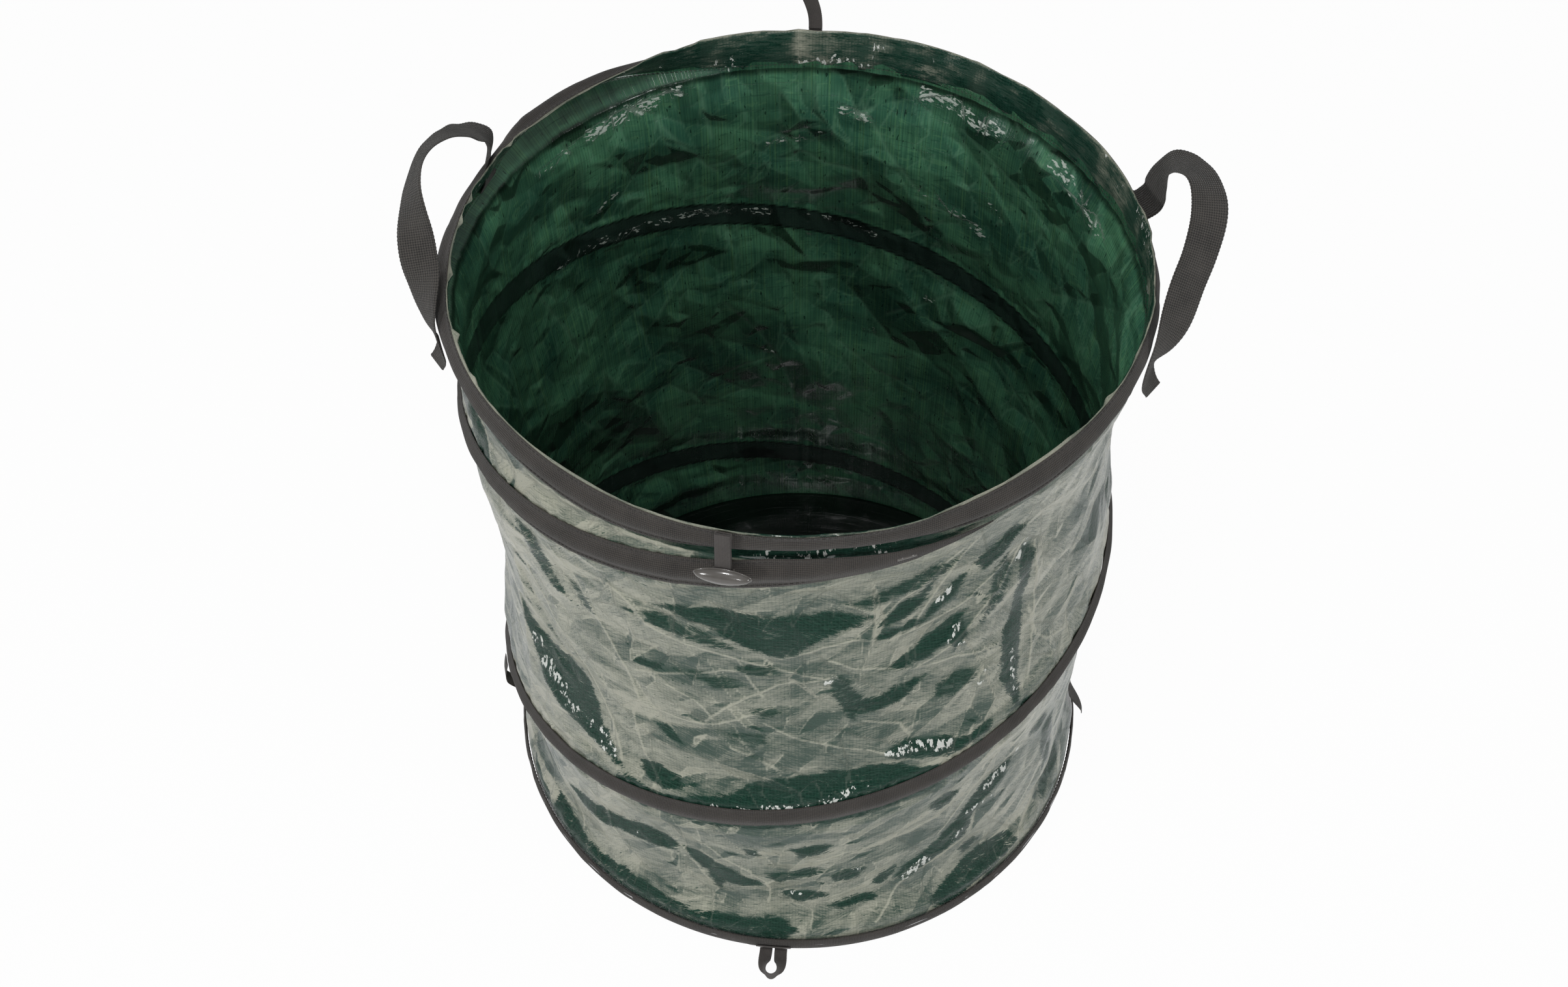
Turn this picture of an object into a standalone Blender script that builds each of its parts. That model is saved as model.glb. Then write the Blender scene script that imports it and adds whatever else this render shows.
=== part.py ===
"""Pop up leaf bag: a cylinder of laminated woven sheet, held open by a coil of spring wire.

Metres, +Z up. The origin is on the floor under the middle of the base, the front faces -Y and
+X is to the right. An azimuth is counted from the front towards +X.
The wire runs in tape channels sewn to the outside of the wall. The rim carries two webbing
handles and two toggles on short straps. The base carries two tape loops for the toggles, which
hold the bag flat once its coil is pressed down.
Pieces that nest round the wall share its facets, so the gaps between them stay even.
A small piece is made as if it sat at the front, then turned to its own azimuth.
"""

import math

import bmesh
import bpy
from mathutils import Matrix, Vector

# Bag
BAG_RADIUS = 0.280
BAG_HEIGHT = 0.640
SHEET = 0.0009
GAP = 0.0003
FACETS = 60
HEM_HEIGHT = 0.035

# Spring wire, its crimped sleeves and its end caps
WIRE = 0.0030
SLEEVE_WALL = 0.0004
SLEEVE_LENGTH = 0.024
WIRE_END_GAP = 0.0006
CAP_LENGTH = 0.014
CAP_END = 0.003
TURNED_SIDES = 12

# Binding tape, its width as it lies on the wall
TAPE = 0.0008
RIM_BAND = 0.033
COIL_BAND = 0.033
BASE_BAND = 0.022
LIP = 0.003

# Coil: its centre line from end to end, counted in facets
COIL_TOP_AZIMUTH = math.radians(48)
COIL_STEPS = 110
COIL_TOP_DEPTH = 0.002
COIL_FOOT_HEIGHT = 0.003

# Tape ends that stand off the wall
SPLICE_AZIMUTH = math.radians(-78)
SPLICE_WIDTH = 0.016
SPLICE_TOP = 0.160
SPLICE_LENGTH = 0.046
SPLICE_BULGE = 0.007
TAIL_AZIMUTH = math.radians(84)
TAIL_TOP = 0.075
TAIL_LENGTH = 0.050
TAIL_WIDTH = 0.020
TAIL_TIP_WIDTH = 0.004
TAIL_FLARE = 0.010

# Webbing handles
WEBBING = 0.0016
WEBBING_WIDTH = 0.030
HANDLE_AZIMUTHS = {"left": math.radians(-95), "right": math.radians(89)}
HANDLE_HALF_SPAN = math.radians(19.5)
HANDLE_SEAM_DEPTH = 0.022
HANDLE_HINGE_DROP = 0.006
HANDLE_SEAM_SLANT = 0.0016
HANDLE_RISE = 0.072
HANDLE_LEAN_OUT = 0.042
HANDLE_END_LENGTH = 0.050
TWIST_START_SHARE = 0.13
TWIST_END_SHARE = 0.40

# Toggle straps: how far each is lifted from hanging, leaned aside and twisted at rest
STRAP_AZIMUTHS = {"front": math.radians(-10.7), "back": math.radians(177)}
STRAP_LIFTS = {"front": 0.0, "back": math.radians(165)}
STRAP_LEANS = {"front": 0.0, "back": math.radians(14)}
STRAP_TWISTS = {"front": 0.0, "back": math.radians(-32)}
STRAP_WIDTH = 0.012
STRAP_LENGTH = 0.041
STRAP_END_HEIGHT = 0.018

# Toggles
BAR = 0.0028
TOGGLE_LENGTH = 0.041
TOGGLE_WIDTH = 0.014
TOGGLE_DOME = 0.0045
TOGGLE_FLANGE = 0.0010
TOGGLE_STEP = 0.0008
TOGGLE_CLEARANCE = 0.0005
LUG = 0.0016
LUG_HEIGHT = 0.0044

# Base loops
LOOP_AZIMUTHS = {"front": math.radians(-4.8), "back": math.radians(177)}
LOOP_TAPE_WIDTH = 0.012
LOOP_HALF_SPREAD = 0.0105
LOOP_REACH = 0.0275
LOOP_END_HEIGHT = 0.010
LOOP_END_MARGIN = 0.001
LOOP_TWIST_SHARE = 0.40

RIBBON_STEPS = 28
SHORT_STEPS = 8
EYE_STEPS = 8
OVERRUN = 0.010

# How far the wall is drawn in between the wires
WAIST_DEPTH = 0.011
WAIST_FADE = 0.050
WAIST_ROWS = 4
ROW_SNAP = 0.003

# Places that follow from the sizes above
STEP_ANGLE = 2 * math.pi / FACETS
SLEEVE_RADIUS = WIRE / 2 + GAP + SLEEVE_WALL
CHANNEL = 2 * SLEEVE_RADIUS + 2 * GAP
WIRE_REACH = BAG_RADIUS + GAP + SLEEVE_RADIUS
BAND_FACE = BAG_RADIUS + CHANNEL + TAPE
SEAT = BAND_FACE + GAP
INSIDE = BAG_RADIUS - SHEET - GAP
RIM_TOP = BAG_HEIGHT - LIP
RIM_FOOT = RIM_TOP - RIM_BAND
COIL_DROP = BAG_HEIGHT - COIL_TOP_DEPTH - COIL_FOOT_HEIGHT
EYE_RADIUS = BAR / 2 + GAP + TAPE / 2
HANDLE_SEAM = BAG_HEIGHT - HANDLE_SEAM_DEPTH
HANDLE_HINGE = HANDLE_SEAM - HANDLE_HINGE_DROP


def clear_scene():
    """Empties the file, so that the script gives the same model each time it runs."""
    for old in list(bpy.data.objects):
        bpy.data.objects.remove(old)


def make_collection(name):
    made = bpy.data.collections.new(name)
    bpy.context.scene.collection.children.link(made)
    return made


def make_material(name, colour, roughness, metallic=0.0):
    material = bpy.data.materials.new(name)
    material.use_nodes = True
    shader = material.node_tree.nodes["Principled BSDF"]
    shader.inputs["Base Color"].default_value = (*colour, 1.0)
    shader.inputs["Roughness"].default_value = roughness
    shader.inputs["Metallic"].default_value = metallic
    material.diffuse_color = (*colour, 1.0)
    return material


def link(name, data, material, collection):
    made = bpy.data.objects.new(name, data)
    collection.objects.link(made)
    if material is not None:
        data.materials.append(material)
    return made


def from_bmesh(name, bm, material, collection):
    mesh = bpy.data.meshes.new(name)
    bm.to_mesh(mesh)
    bm.free()
    return link(name, mesh, material, collection)


def line_mesh(name, points, closed=False):
    """A mesh of points joined in a row, for a Screw modifier to sweep."""
    edges = [(i, i + 1) for i in range(len(points) - 1)]
    if closed:
        edges.append((len(points) - 1, 0))
    mesh = bpy.data.meshes.new(name)
    mesh.from_pydata(points, edges, [])
    return mesh


def outward(azimuth):
    return Vector((math.sin(azimuth), -math.cos(azimuth), 0))


def along(azimuth):
    return Vector((math.cos(azimuth), math.sin(azimuth), 0))


def on_bag(azimuth, reach, height):
    return outward(azimuth) * reach + Vector((0, 0, height))


def smooth(share):
    share = min(1.0, max(0.0, share))
    return share * share * (3 - 2 * share)


def solidify(owner, thickness, offset):
    wall = owner.modifiers.new("thickness", "SOLIDIFY")
    wall.thickness = thickness
    wall.offset = offset
    wall.use_even_offset = True


def screw(owner, steps, angle=2 * math.pi, rise=0.0):
    sweep = owner.modifiers.new("sweep", "SCREW")
    sweep.axis = "Z"
    sweep.angle = angle
    sweep.screw_offset = rise
    sweep.steps = sweep.render_steps = steps
    sweep.use_merge_vertices = rise == 0
    sweep.merge_threshold = GAP / 10
    return sweep


def combine(owner, tool, operation):
    """Joins a tool to its owner, or cuts it out, and hides the tool."""
    boolean = owner.modifiers.new(operation.lower(), "BOOLEAN")
    boolean.operation = operation
    boolean.solver = "EXACT"
    boolean.object = tool
    tool.hide_render = True
    tool.display_type = "WIRE"


def tube(name, radius, bottom, top, thickness, material, collection):
    """An open sheet tube round the bag's axis, its outer face at the given radius."""
    bm = bmesh.new()
    bmesh.ops.create_cone(
        bm, cap_ends=False, segments=FACETS, radius1=radius, radius2=radius, depth=top - bottom
    )
    bmesh.ops.translate(bm, verts=bm.verts, vec=(0, 0, (top + bottom) / 2))
    made = from_bmesh(name, bm, material, collection)
    solidify(made, thickness, -1)
    return made


def disc(name, radius, bottom, top, material, collection):
    bm = bmesh.new()
    bmesh.ops.create_cone(
        bm, cap_ends=True, segments=FACETS, radius1=radius, radius2=radius, depth=top - bottom
    )
    bmesh.ops.translate(bm, verts=bm.verts, vec=(0, 0, (top + bottom) / 2))
    return from_bmesh(name, bm, material, collection)


def channel_line(width):
    """The inner line of a tape folded over the wire, top to bottom: flange, roof, flange."""
    roof = CHANNEL / 2
    foot = roof + CHANNEL - GAP
    inner = BAG_RADIUS + GAP
    outer = BAG_RADIUS + CHANNEL
    rises = [(inner, width / 2), (inner, foot), (outer, roof)]
    return [(x, 0, z) for x, z in rises] + [(x, 0, -z) for x, z in reversed(rises)]


def ring_binding(name, width, height, material, collection):
    made = link(name, line_mesh(name, channel_line(width)), material, collection)
    made.location = (0, 0, height)
    screw(made, FACETS)
    solidify(made, TAPE, 1)
    return made


def coil_height(step):
    """Height of the coil's centre line, so many facets below its top end."""
    return BAG_HEIGHT - COIL_TOP_DEPTH - COIL_DROP * step / COIL_STEPS


def coil_step(height):
    return (BAG_HEIGHT - COIL_TOP_DEPTH - height) / COIL_DROP * COIL_STEPS


def wall_waist(step, height):
    """How far the wall is drawn in at a height, so many facets below the coil's top end."""
    pitch = COIL_DROP * FACETS / COIL_STEPS
    band = COIL_BAND / 2 / pitch
    turns = (height - coil_height(step)) / pitch
    share = (turns - math.floor(turns) - band) / (1 - 2 * band)
    waist = math.sin(math.pi * min(1.0, max(0.0, share)))
    below_rim = smooth((RIM_FOOT - height) / WAIST_FADE)
    above_base = smooth((height - BASE_BAND) / WAIST_FADE)
    return WAIST_DEPTH * waist * below_rim * above_base


def wall(name, material, collection):
    """The wall: a sheet held out by the wires and drawn in between them.

    Its rows of facets climb with the coil. They are cut level at the foot and the mouth."""
    pitch = COIL_DROP * FACETS / COIL_STEPS
    band = COIL_BAND / 2 / pitch
    inner = [band + (1 - 2 * band) * i / WAIST_ROWS for i in range(WAIST_ROWS + 1)]
    shares = [0, *inner, 1]
    first, last = -2 * FACETS, COIL_STEPS + FACETS
    bm = bmesh.new()
    rows = []
    for step in range(first, last + 1):
        azimuth = COIL_TOP_AZIMUTH - step * STEP_ANGLE
        rises = [coil_height(step) + share * pitch for share in shares]
        rows.append([bm.verts.new(on_bag(azimuth, BAG_RADIUS, rise)) for rise in rises])
    for left, right in zip(rows, rows[1:]):
        for i in range(len(shares) - 1):
            bm.faces.new([right[i], left[i], left[i + 1], right[i + 1]])
    bmesh.ops.remove_doubles(bm, verts=bm.verts, dist=GAP)
    levels = [0, BAG_HEIGHT, RIM_FOOT, RIM_FOOT - WAIST_FADE, BASE_BAND, BASE_BAND + WAIST_FADE]
    for level in levels:
        for vert in bm.verts:
            if abs(vert.co.z - level) < ROW_SNAP:
                vert.co.z = level
        cut = [*bm.verts, *bm.edges, *bm.faces]
        middle = (0, 0, level)
        below, above = level == 0, level == BAG_HEIGHT
        bmesh.ops.bisect_plane(
            bm, geom=cut, plane_co=middle, plane_no=(0, 0, 1), clear_inner=below, clear_outer=above
        )
    bmesh.ops.triangulate(bm, faces=bm.faces)
    edges = [edge.verts[:] for edge in bm.edges if edge.is_boundary]
    faces = [face.verts[:] for face in bm.faces]
    lining = {}
    for vert in bm.verts[:]:
        turn = math.atan2(vert.co.x, -vert.co.y)
        step = (COIL_TOP_AZIMUTH - turn) / STEP_ANGLE
        height = vert.co.z
        reach = vert.co.to_2d().length - wall_waist(step, height)
        vert.co = on_bag(turn, reach, height)
        lining[vert] = bm.verts.new(on_bag(turn, reach - SHEET, height))
    for corners in faces:
        bm.faces.new([lining[vert] for vert in reversed(corners)])
    for first_end, second_end in edges:
        bm.faces.new([first_end, second_end, lining[second_end], lining[first_end]])
    bmesh.ops.recalc_face_normals(bm, faces=bm.faces)
    return from_bmesh(name, bm, material, collection)


def coil_corner(step, reach):
    return on_bag(COIL_TOP_AZIMUTH - step * STEP_ANGLE, reach, coil_height(step))


def coil_binding(name, material, collection, cutters):
    """The coil's tape, swept up round the wall and trimmed where it meets the rim and the base."""
    made = link(name, line_mesh(name, channel_line(COIL_BAND)), material, collection)
    foot_azimuth = COIL_TOP_AZIMUTH - COIL_STEPS * STEP_ANGLE
    made.location = (0, 0, coil_height(COIL_STEPS))
    made.rotation_euler = (0, 0, foot_azimuth - math.pi / 2)
    screw(made, COIL_STEPS, COIL_STEPS * STEP_ANGLE, COIL_DROP)
    solidify(made, TAPE, 1)
    reach = BAND_FACE + OVERRUN
    rim_cut = disc("rim_cut", reach, RIM_FOOT - GAP, BAG_HEIGHT + COIL_BAND, None, cutters)
    base_cut = disc("base_cut", reach, -COIL_BAND, BASE_BAND + GAP, None, cutters)
    combine(made, rim_cut, "DIFFERENCE")
    combine(made, base_cut, "DIFFERENCE")
    return made


def wire(name, points, material, collection):
    curve = bpy.data.curves.new(name, "CURVE")
    curve.dimensions = "3D"
    curve.bevel_depth = WIRE / 2
    curve.bevel_resolution = 1
    curve.use_fill_caps = True
    spline = curve.splines.new("POLY")
    spline.points.add(len(points) - 1)
    for target, point in zip(spline.points, points):
        target.co = (*point, 1)
    return link(name, curve, material, collection)


def ring_wire(name, height, material, collection):
    """A hoop whose two ends meet half way along a facet at the back."""
    corners = [on_bag(math.pi + (i + 1) * STEP_ANGLE, WIRE_REACH, height) for i in range(FACETS)]
    middle = (corners[0] + corners[-1]) / 2
    run = (corners[0] - corners[-1]).normalized()
    first = middle + run * WIRE_END_GAP / 2
    last = middle - run * WIRE_END_GAP / 2
    return wire(name, [first, *corners, last], material, collection)


def turned(name, profile, place, direction, material, collection):
    """A closed profile of (radius, distance) turned about the line through place."""
    points = [(radius, 0, distance) for radius, distance in profile]
    made = link(name, line_mesh(name, points, profile[0][0] > 0), material, collection)
    made.location = place
    made.rotation_euler = direction.to_track_quat("Z", "Y").to_euler()
    screw(made, TURNED_SIDES)
    return made


def sleeve(name, height, material, collection):
    """The crimped tube in which the two ends of a hoop meet."""
    first = on_bag(math.pi, WIRE_REACH, height)
    second = on_bag(math.pi + STEP_ANGLE, WIRE_REACH, height)
    bore = WIRE / 2 + GAP
    half = SLEEVE_LENGTH / 2
    profile = [(SLEEVE_RADIUS, half), (SLEEVE_RADIUS, -half), (bore, -half), (bore, half)]
    return turned(name, profile, (first + second) / 2, second - first, material, collection)


def end_cap(name, end, inner, material, collection):
    """A cap pushed over a wire's end, its open mouth towards the wire."""
    run = (inner - end).normalized()
    bore = WIRE / 2 + GAP
    profile = [
        (0, CAP_END),
        (bore, CAP_END),
        (bore, CAP_LENGTH),
        (SLEEVE_RADIUS, CAP_LENGTH),
        (SLEEVE_RADIUS, 0),
        (0, 0),
    ]
    return turned(name, profile, end - run * (CAP_END + GAP), run, material, collection)


def ribbon(name, points, sides, widths, thickness, material, collection):
    """Flat tape along points, its width laid along the given direction at each of them."""
    bm = bmesh.new()
    bmesh.ops.create_grid(bm, x_segments=1, y_segments=len(points) - 1, size=len(points))
    spots = sorted(bm.verts, key=lambda vert: (round(vert.co.y, 3), vert.co.x))
    for i, (point, side, width) in enumerate(zip(points, sides, widths)):
        spots[2 * i].co = point - side * width / 2
        spots[2 * i + 1].co = point + side * width / 2
    made = from_bmesh(name, bm, material, collection)
    solidify(made, thickness, 0)
    return made


def plate(name, size, place, azimuth, material, collection):
    """A flat plate against the wall: its size along the wall, outwards and up."""
    bm = bmesh.new()
    bmesh.ops.create_cube(bm, size=1)
    bmesh.ops.scale(bm, verts=bm.verts, vec=size)
    made = from_bmesh(name, bm, material, collection)
    made.location = place
    made.rotation_euler = (0, 0, azimuth)
    return made


def handle(side_name, material, collection):
    """A webbing arch that starts flat on the band and turns edge-on towards its crown.

    The origin is on the line through its two roots, about which it swings. The roots are cut on
    a slant, higher towards the crown, so that they clear the sewn ends as the handle swings."""
    azimuth = HANDLE_AZIMUTHS[side_name]
    reach = SEAT + WEBBING / 2
    chord_reach = reach * math.cos(HANDLE_HALF_SPAN)
    half_chord = reach * math.sin(HANDLE_HALF_SPAN)
    points, sides = [], []
    for i in range(RIBBON_STEPS + 1):
        share = i / RIBBON_STEPS
        angle = math.pi * share
        lift = math.sin(angle)
        end = 1 if share < 0.5 else -1
        points.append(
            Vector(
                (
                    -half_chord * math.cos(angle),
                    -HANDLE_LEAN_OUT * lift * lift,
                    HANDLE_HINGE_DROP + HANDLE_RISE * lift,
                )
            )
        )
        past_share = min(share, 1 - share) - TWIST_START_SHARE
        twist = smooth(past_share / (TWIST_END_SHARE - TWIST_START_SHARE)) * math.pi / 2
        flat = along(-end * HANDLE_HALF_SPAN) * end
        if i in (0, RIBBON_STEPS):
            flat.z = HANDLE_SEAM_SLANT / WEBBING_WIDTH
            points[i].z += HANDLE_SEAM_SLANT / 2
        sides.append(flat * math.cos(twist) + outward(0) * math.sin(twist))
    for i in range(1, RIBBON_STEPS):
        run = (points[i + 1] - points[i - 1]).normalized()
        sides[i] = (sides[i] - run * run.dot(sides[i])).normalized()
    widths = [WEBBING_WIDTH] * len(points)
    made = ribbon(f"{side_name}_handle", points, sides, widths, WEBBING, material, collection)
    made.location = on_bag(azimuth, chord_reach, HANDLE_HINGE)
    made.rotation_euler = (0, 0, azimuth)
    ends = {"first": azimuth - HANDLE_HALF_SPAN, "second": azimuth + HANDLE_HALF_SPAN}
    for end_name, end_azimuth in ends.items():
        size = (WEBBING_WIDTH, WEBBING, HANDLE_END_LENGTH)
        place = on_bag(end_azimuth, reach, HANDLE_SEAM - GAP - HANDLE_END_LENGTH / 2)
        name = f"{side_name}_handle_{end_name}_end"
        plate(name, size, place, end_azimuth, material, collection)


def strap_bar():
    """The middle of the toggle's bar, from the hinge of a hanging strap."""
    return Vector((0, -GAP / 2 - TAPE / 2 - EYE_RADIUS, -STRAP_LENGTH))


def strap_line():
    """The strap's side view, hanging: down beside the wall, round the bar and up again."""
    bar = strap_bar().y
    inner = bar + EYE_RADIUS
    outer = inner - TAPE - GAP
    line = [Vector((0, inner, 0))]
    for i in range(EYE_STEPS + 1):
        angle = math.pi * i / EYE_STEPS
        across = bar + EYE_RADIUS * math.cos(angle)
        line.append(Vector((0, across, -STRAP_LENGTH - EYE_RADIUS * math.sin(angle))))
    middle = Vector((0, (outer + bar - EYE_RADIUS) / 2, -STRAP_LENGTH / 2))
    line.insert(1, Vector((0, inner, middle.z)))
    return [*line, middle, Vector((0, outer, 0))]


def strap_turn(which, share):
    """How a strap's cross section is turned, so much of the way from its hinge to its bar."""
    twist = Matrix.Rotation(STRAP_TWISTS[which] * share, 3, "Z")
    return Matrix.Rotation(-STRAP_LEANS[which] * share, 3, "Y") @ twist


def strap_point(which, point):
    """Where a point of the plain hanging strap lies once the strap is leaned and twisted."""
    drop = min(STRAP_LENGTH, -point.z)
    share = smooth(drop / STRAP_LENGTH)
    middle = Vector((0, strap_bar().y * (1 + share) / 2, -drop))
    aside = Vector((drop * math.tan(STRAP_LEANS[which]) * share, 0, 0))
    return middle + aside + strap_turn(which, share) @ (point - middle)


def strap(which, material, collection):
    azimuth = STRAP_AZIMUTHS[which]
    hinge_reach = SEAT + TAPE + GAP / 2
    points, sides = [], []
    line = strap_line()
    fine = []
    for first, second in zip(line, line[1:]):
        pieces = SHORT_STEPS if (second - first).length > STRAP_LENGTH / 4 else 1
        fine += [first.lerp(second, i / pieces) for i in range(pieces)]
    for point in [*fine, line[-1]]:
        half = Vector((STRAP_WIDTH / 2, 0, 0))
        left = strap_point(which, point - half)
        right = strap_point(which, point + half)
        points.append((left + right) / 2)
        sides.append((right - left) / STRAP_WIDTH)
    widths = [STRAP_WIDTH] * len(points)
    made = ribbon(f"{which}_strap", points, sides, widths, TAPE, material, collection)
    made.location = on_bag(azimuth, hinge_reach, RIM_TOP)
    made.rotation_euler = (-STRAP_LIFTS[which], 0, azimuth)
    size = (STRAP_WIDTH, TAPE, STRAP_END_HEIGHT)
    place = on_bag(azimuth, SEAT + TAPE / 2, RIM_TOP - STRAP_END_HEIGHT / 2)
    plate(f"{which}_strap_end", size, place, azimuth, material, collection)
    return made


def ellipsoid(name, size, place, collection):
    bm = bmesh.new()
    bmesh.ops.create_uvsphere(bm, u_segments=20, v_segments=12, radius=1)
    bmesh.ops.rotate(bm, verts=bm.verts, matrix=Matrix.Rotation(math.pi / 2, 3, "X"))
    bmesh.ops.scale(bm, verts=bm.verts, vec=size)
    geometry = bm.verts[:] + bm.edges[:] + bm.faces[:]
    bmesh.ops.bisect_plane(bm, geom=geometry, plane_co=(0, 0, 0), plane_no=(0, 1, 0), clear_outer=True)
    bmesh.ops.holes_fill(bm, edges=[edge for edge in bm.edges if edge.is_boundary])
    bmesh.ops.translate(bm, verts=bm.verts, vec=place)
    bmesh.ops.recalc_face_normals(bm, faces=bm.faces)
    return from_bmesh(name, bm, None, collection)


def rod(name, size, turn, place, sides, material, collection):
    """A cylinder scaled to size across and along its length, then turned and placed."""
    bm = bmesh.new()
    bmesh.ops.create_cone(bm, cap_ends=True, segments=sides, radius1=1, radius2=1, depth=1)
    bmesh.ops.scale(bm, verts=bm.verts, vec=size)
    bmesh.ops.rotate(bm, verts=bm.verts, matrix=turn)
    bmesh.ops.translate(bm, verts=bm.verts, vec=place)
    return from_bmesh(name, bm, material, collection)


def toggle(which, strap_object, material, collection, cutters):
    """A domed oval button, carried at its back by a bar between two lugs.

    The origin is on the bar's axis, about which the toggle turns in the strap's eye."""
    back = -EYE_RADIUS - TAPE / 2 - TOGGLE_CLEARANCE
    name = f"{which}_toggle"
    half_length = TOGGLE_LENGTH / 2
    half_width = TOGGLE_WIDTH / 2
    lug_place = STRAP_WIDTH / 2 + TOGGLE_CLEARANCE + LUG / 2
    upright = Matrix.Rotation(math.pi / 2, 3, "X")
    sideways = Matrix.Rotation(math.pi / 2, 3, "Y")
    flange_middle = Vector((0, back - TOGGLE_FLANGE / 2, 0))
    flange_size = (half_length, half_width, TOGGLE_FLANGE)
    made = rod(name, flange_size, upright, flange_middle, 40, material, collection)
    dome_size = (half_length - TOGGLE_STEP, TOGGLE_DOME + TOGGLE_FLANGE / 2, half_width - TOGGLE_STEP)
    tools = [ellipsoid(f"{name}_dome", dome_size, flange_middle, cutters)]
    bar_size = (BAR / 2, BAR / 2, 2 * lug_place)
    tools.append(rod(f"{name}_bar", bar_size, sideways, Vector(), TURNED_SIDES, None, cutters))
    lug_depth = LUG_HEIGHT / 2 - flange_middle.y
    for side in (-1, 1):
        size = (LUG, lug_depth, LUG_HEIGHT)
        place = (side * lug_place, LUG_HEIGHT / 2 - lug_depth / 2, 0)
        bm = bmesh.new()
        bmesh.ops.create_cube(bm, size=1)
        bmesh.ops.scale(bm, verts=bm.verts, vec=size)
        bmesh.ops.translate(bm, verts=bm.verts, vec=place)
        tools.append(from_bmesh(f"{name}_lug", bm, None, cutters))
    bar = strap_point(which, strap_bar())
    place = Matrix.Translation(bar) @ strap_turn(which, 1).to_4x4()
    seat = Matrix.LocRotScale(strap_object.location, strap_object.rotation_euler, None)
    made.matrix_world = seat @ place
    for tool in tools:
        tool.matrix_world = seat @ place
        combine(made, tool, "UNION")


def base_loop(which, material, collection):
    """A tape loop that leaves the base flat on the floor and stands on edge at its tip."""
    azimuth = LOOP_AZIMUTHS[which]
    hinge = GAP + TAPE / 2
    points, sides = [], []
    for i in range(RIBBON_STEPS + 1):
        share = i / RIBBON_STEPS
        angle = math.pi * share
        twist = smooth(min(share, 1 - share) / LOOP_TWIST_SHARE) * math.pi / 2
        end = 1 if share < 0.5 else -1
        height = LOOP_TAPE_WIDTH / 2 * math.sin(twist)
        across = -LOOP_HALF_SPREAD * math.cos(angle)
        points.append(Vector((across, -LOOP_REACH * math.sin(angle), height)))
        sides.append(Vector((end * math.cos(twist), 0, math.sin(twist))))
    for i in range(1, RIBBON_STEPS):
        run = (points[i + 1] - points[i - 1]).normalized()
        sides[i] = (sides[i] - run * run.dot(sides[i])).normalized()
    widths = [LOOP_TAPE_WIDTH] * len(points)
    made = ribbon(f"{which}_loop", points, sides, widths, TAPE, material, collection)
    made.location = on_bag(azimuth, SEAT + TAPE + GAP + TAPE / 2, hinge)
    made.rotation_euler = (0, 0, azimuth)
    width = 2 * LOOP_HALF_SPREAD + LOOP_TAPE_WIDTH
    height = LOOP_END_HEIGHT
    place = on_bag(azimuth, SEAT + TAPE / 2, LOOP_END_MARGIN + height / 2)
    plate(f"{which}_loop_end", (width, TAPE, height), place, azimuth, material, collection)


def splice(name, material, collection):
    """A folded tape end that bulges from the coil's band and comes back to the wall below it."""
    points = []
    for i in range(SHORT_STEPS + 1):
        share = i / SHORT_STEPS
        rise = SPLICE_TOP - SPLICE_LENGTH * share
        waist = wall_waist((COIL_TOP_AZIMUTH - SPLICE_AZIMUTH) / STEP_ANGLE, rise)
        reach = SEAT + TAPE / 2 + SPLICE_BULGE * math.sin(math.pi * share)
        reach -= (SEAT - BAG_RADIUS - GAP + waist) * smooth(2 * share - 1)
        points.append(Vector((0, -reach, rise)))
    sides = [along(0)] * len(points)
    made = ribbon(name, points, sides, [SPLICE_WIDTH] * len(points), TAPE, material, collection)
    made.rotation_euler = (0, 0, SPLICE_AZIMUTH)


def tail(name, material, collection):
    """The coil tape's loose end: sewn on the wall at its top, flaring off to a pointed tip."""
    points, widths = [], []
    for i in range(SHORT_STEPS + 1):
        share = i / SHORT_STEPS
        rise = TAIL_TOP - TAIL_LENGTH * share
        waist = wall_waist((COIL_TOP_AZIMUTH - TAIL_AZIMUTH) / STEP_ANGLE, TAIL_TOP)
        reach = BAG_RADIUS - waist + GAP + TAPE / 2 + (TAIL_FLARE + waist) * smooth(share)
        points.append(Vector((0, -reach, rise)))
        widths.append(TAIL_WIDTH + (TAIL_TIP_WIDTH - TAIL_WIDTH) * share * share)
    made = ribbon(name, points, [along(0)] * len(points), widths, TAPE, material, collection)
    made.rotation_euler = (0, 0, TAIL_AZIMUTH)


def shade(owner):
    if owner.type == "MESH":
        owner.data.shade_smooth()
        owner.data.set_sharp_from_angle(angle=math.radians(40))


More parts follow.
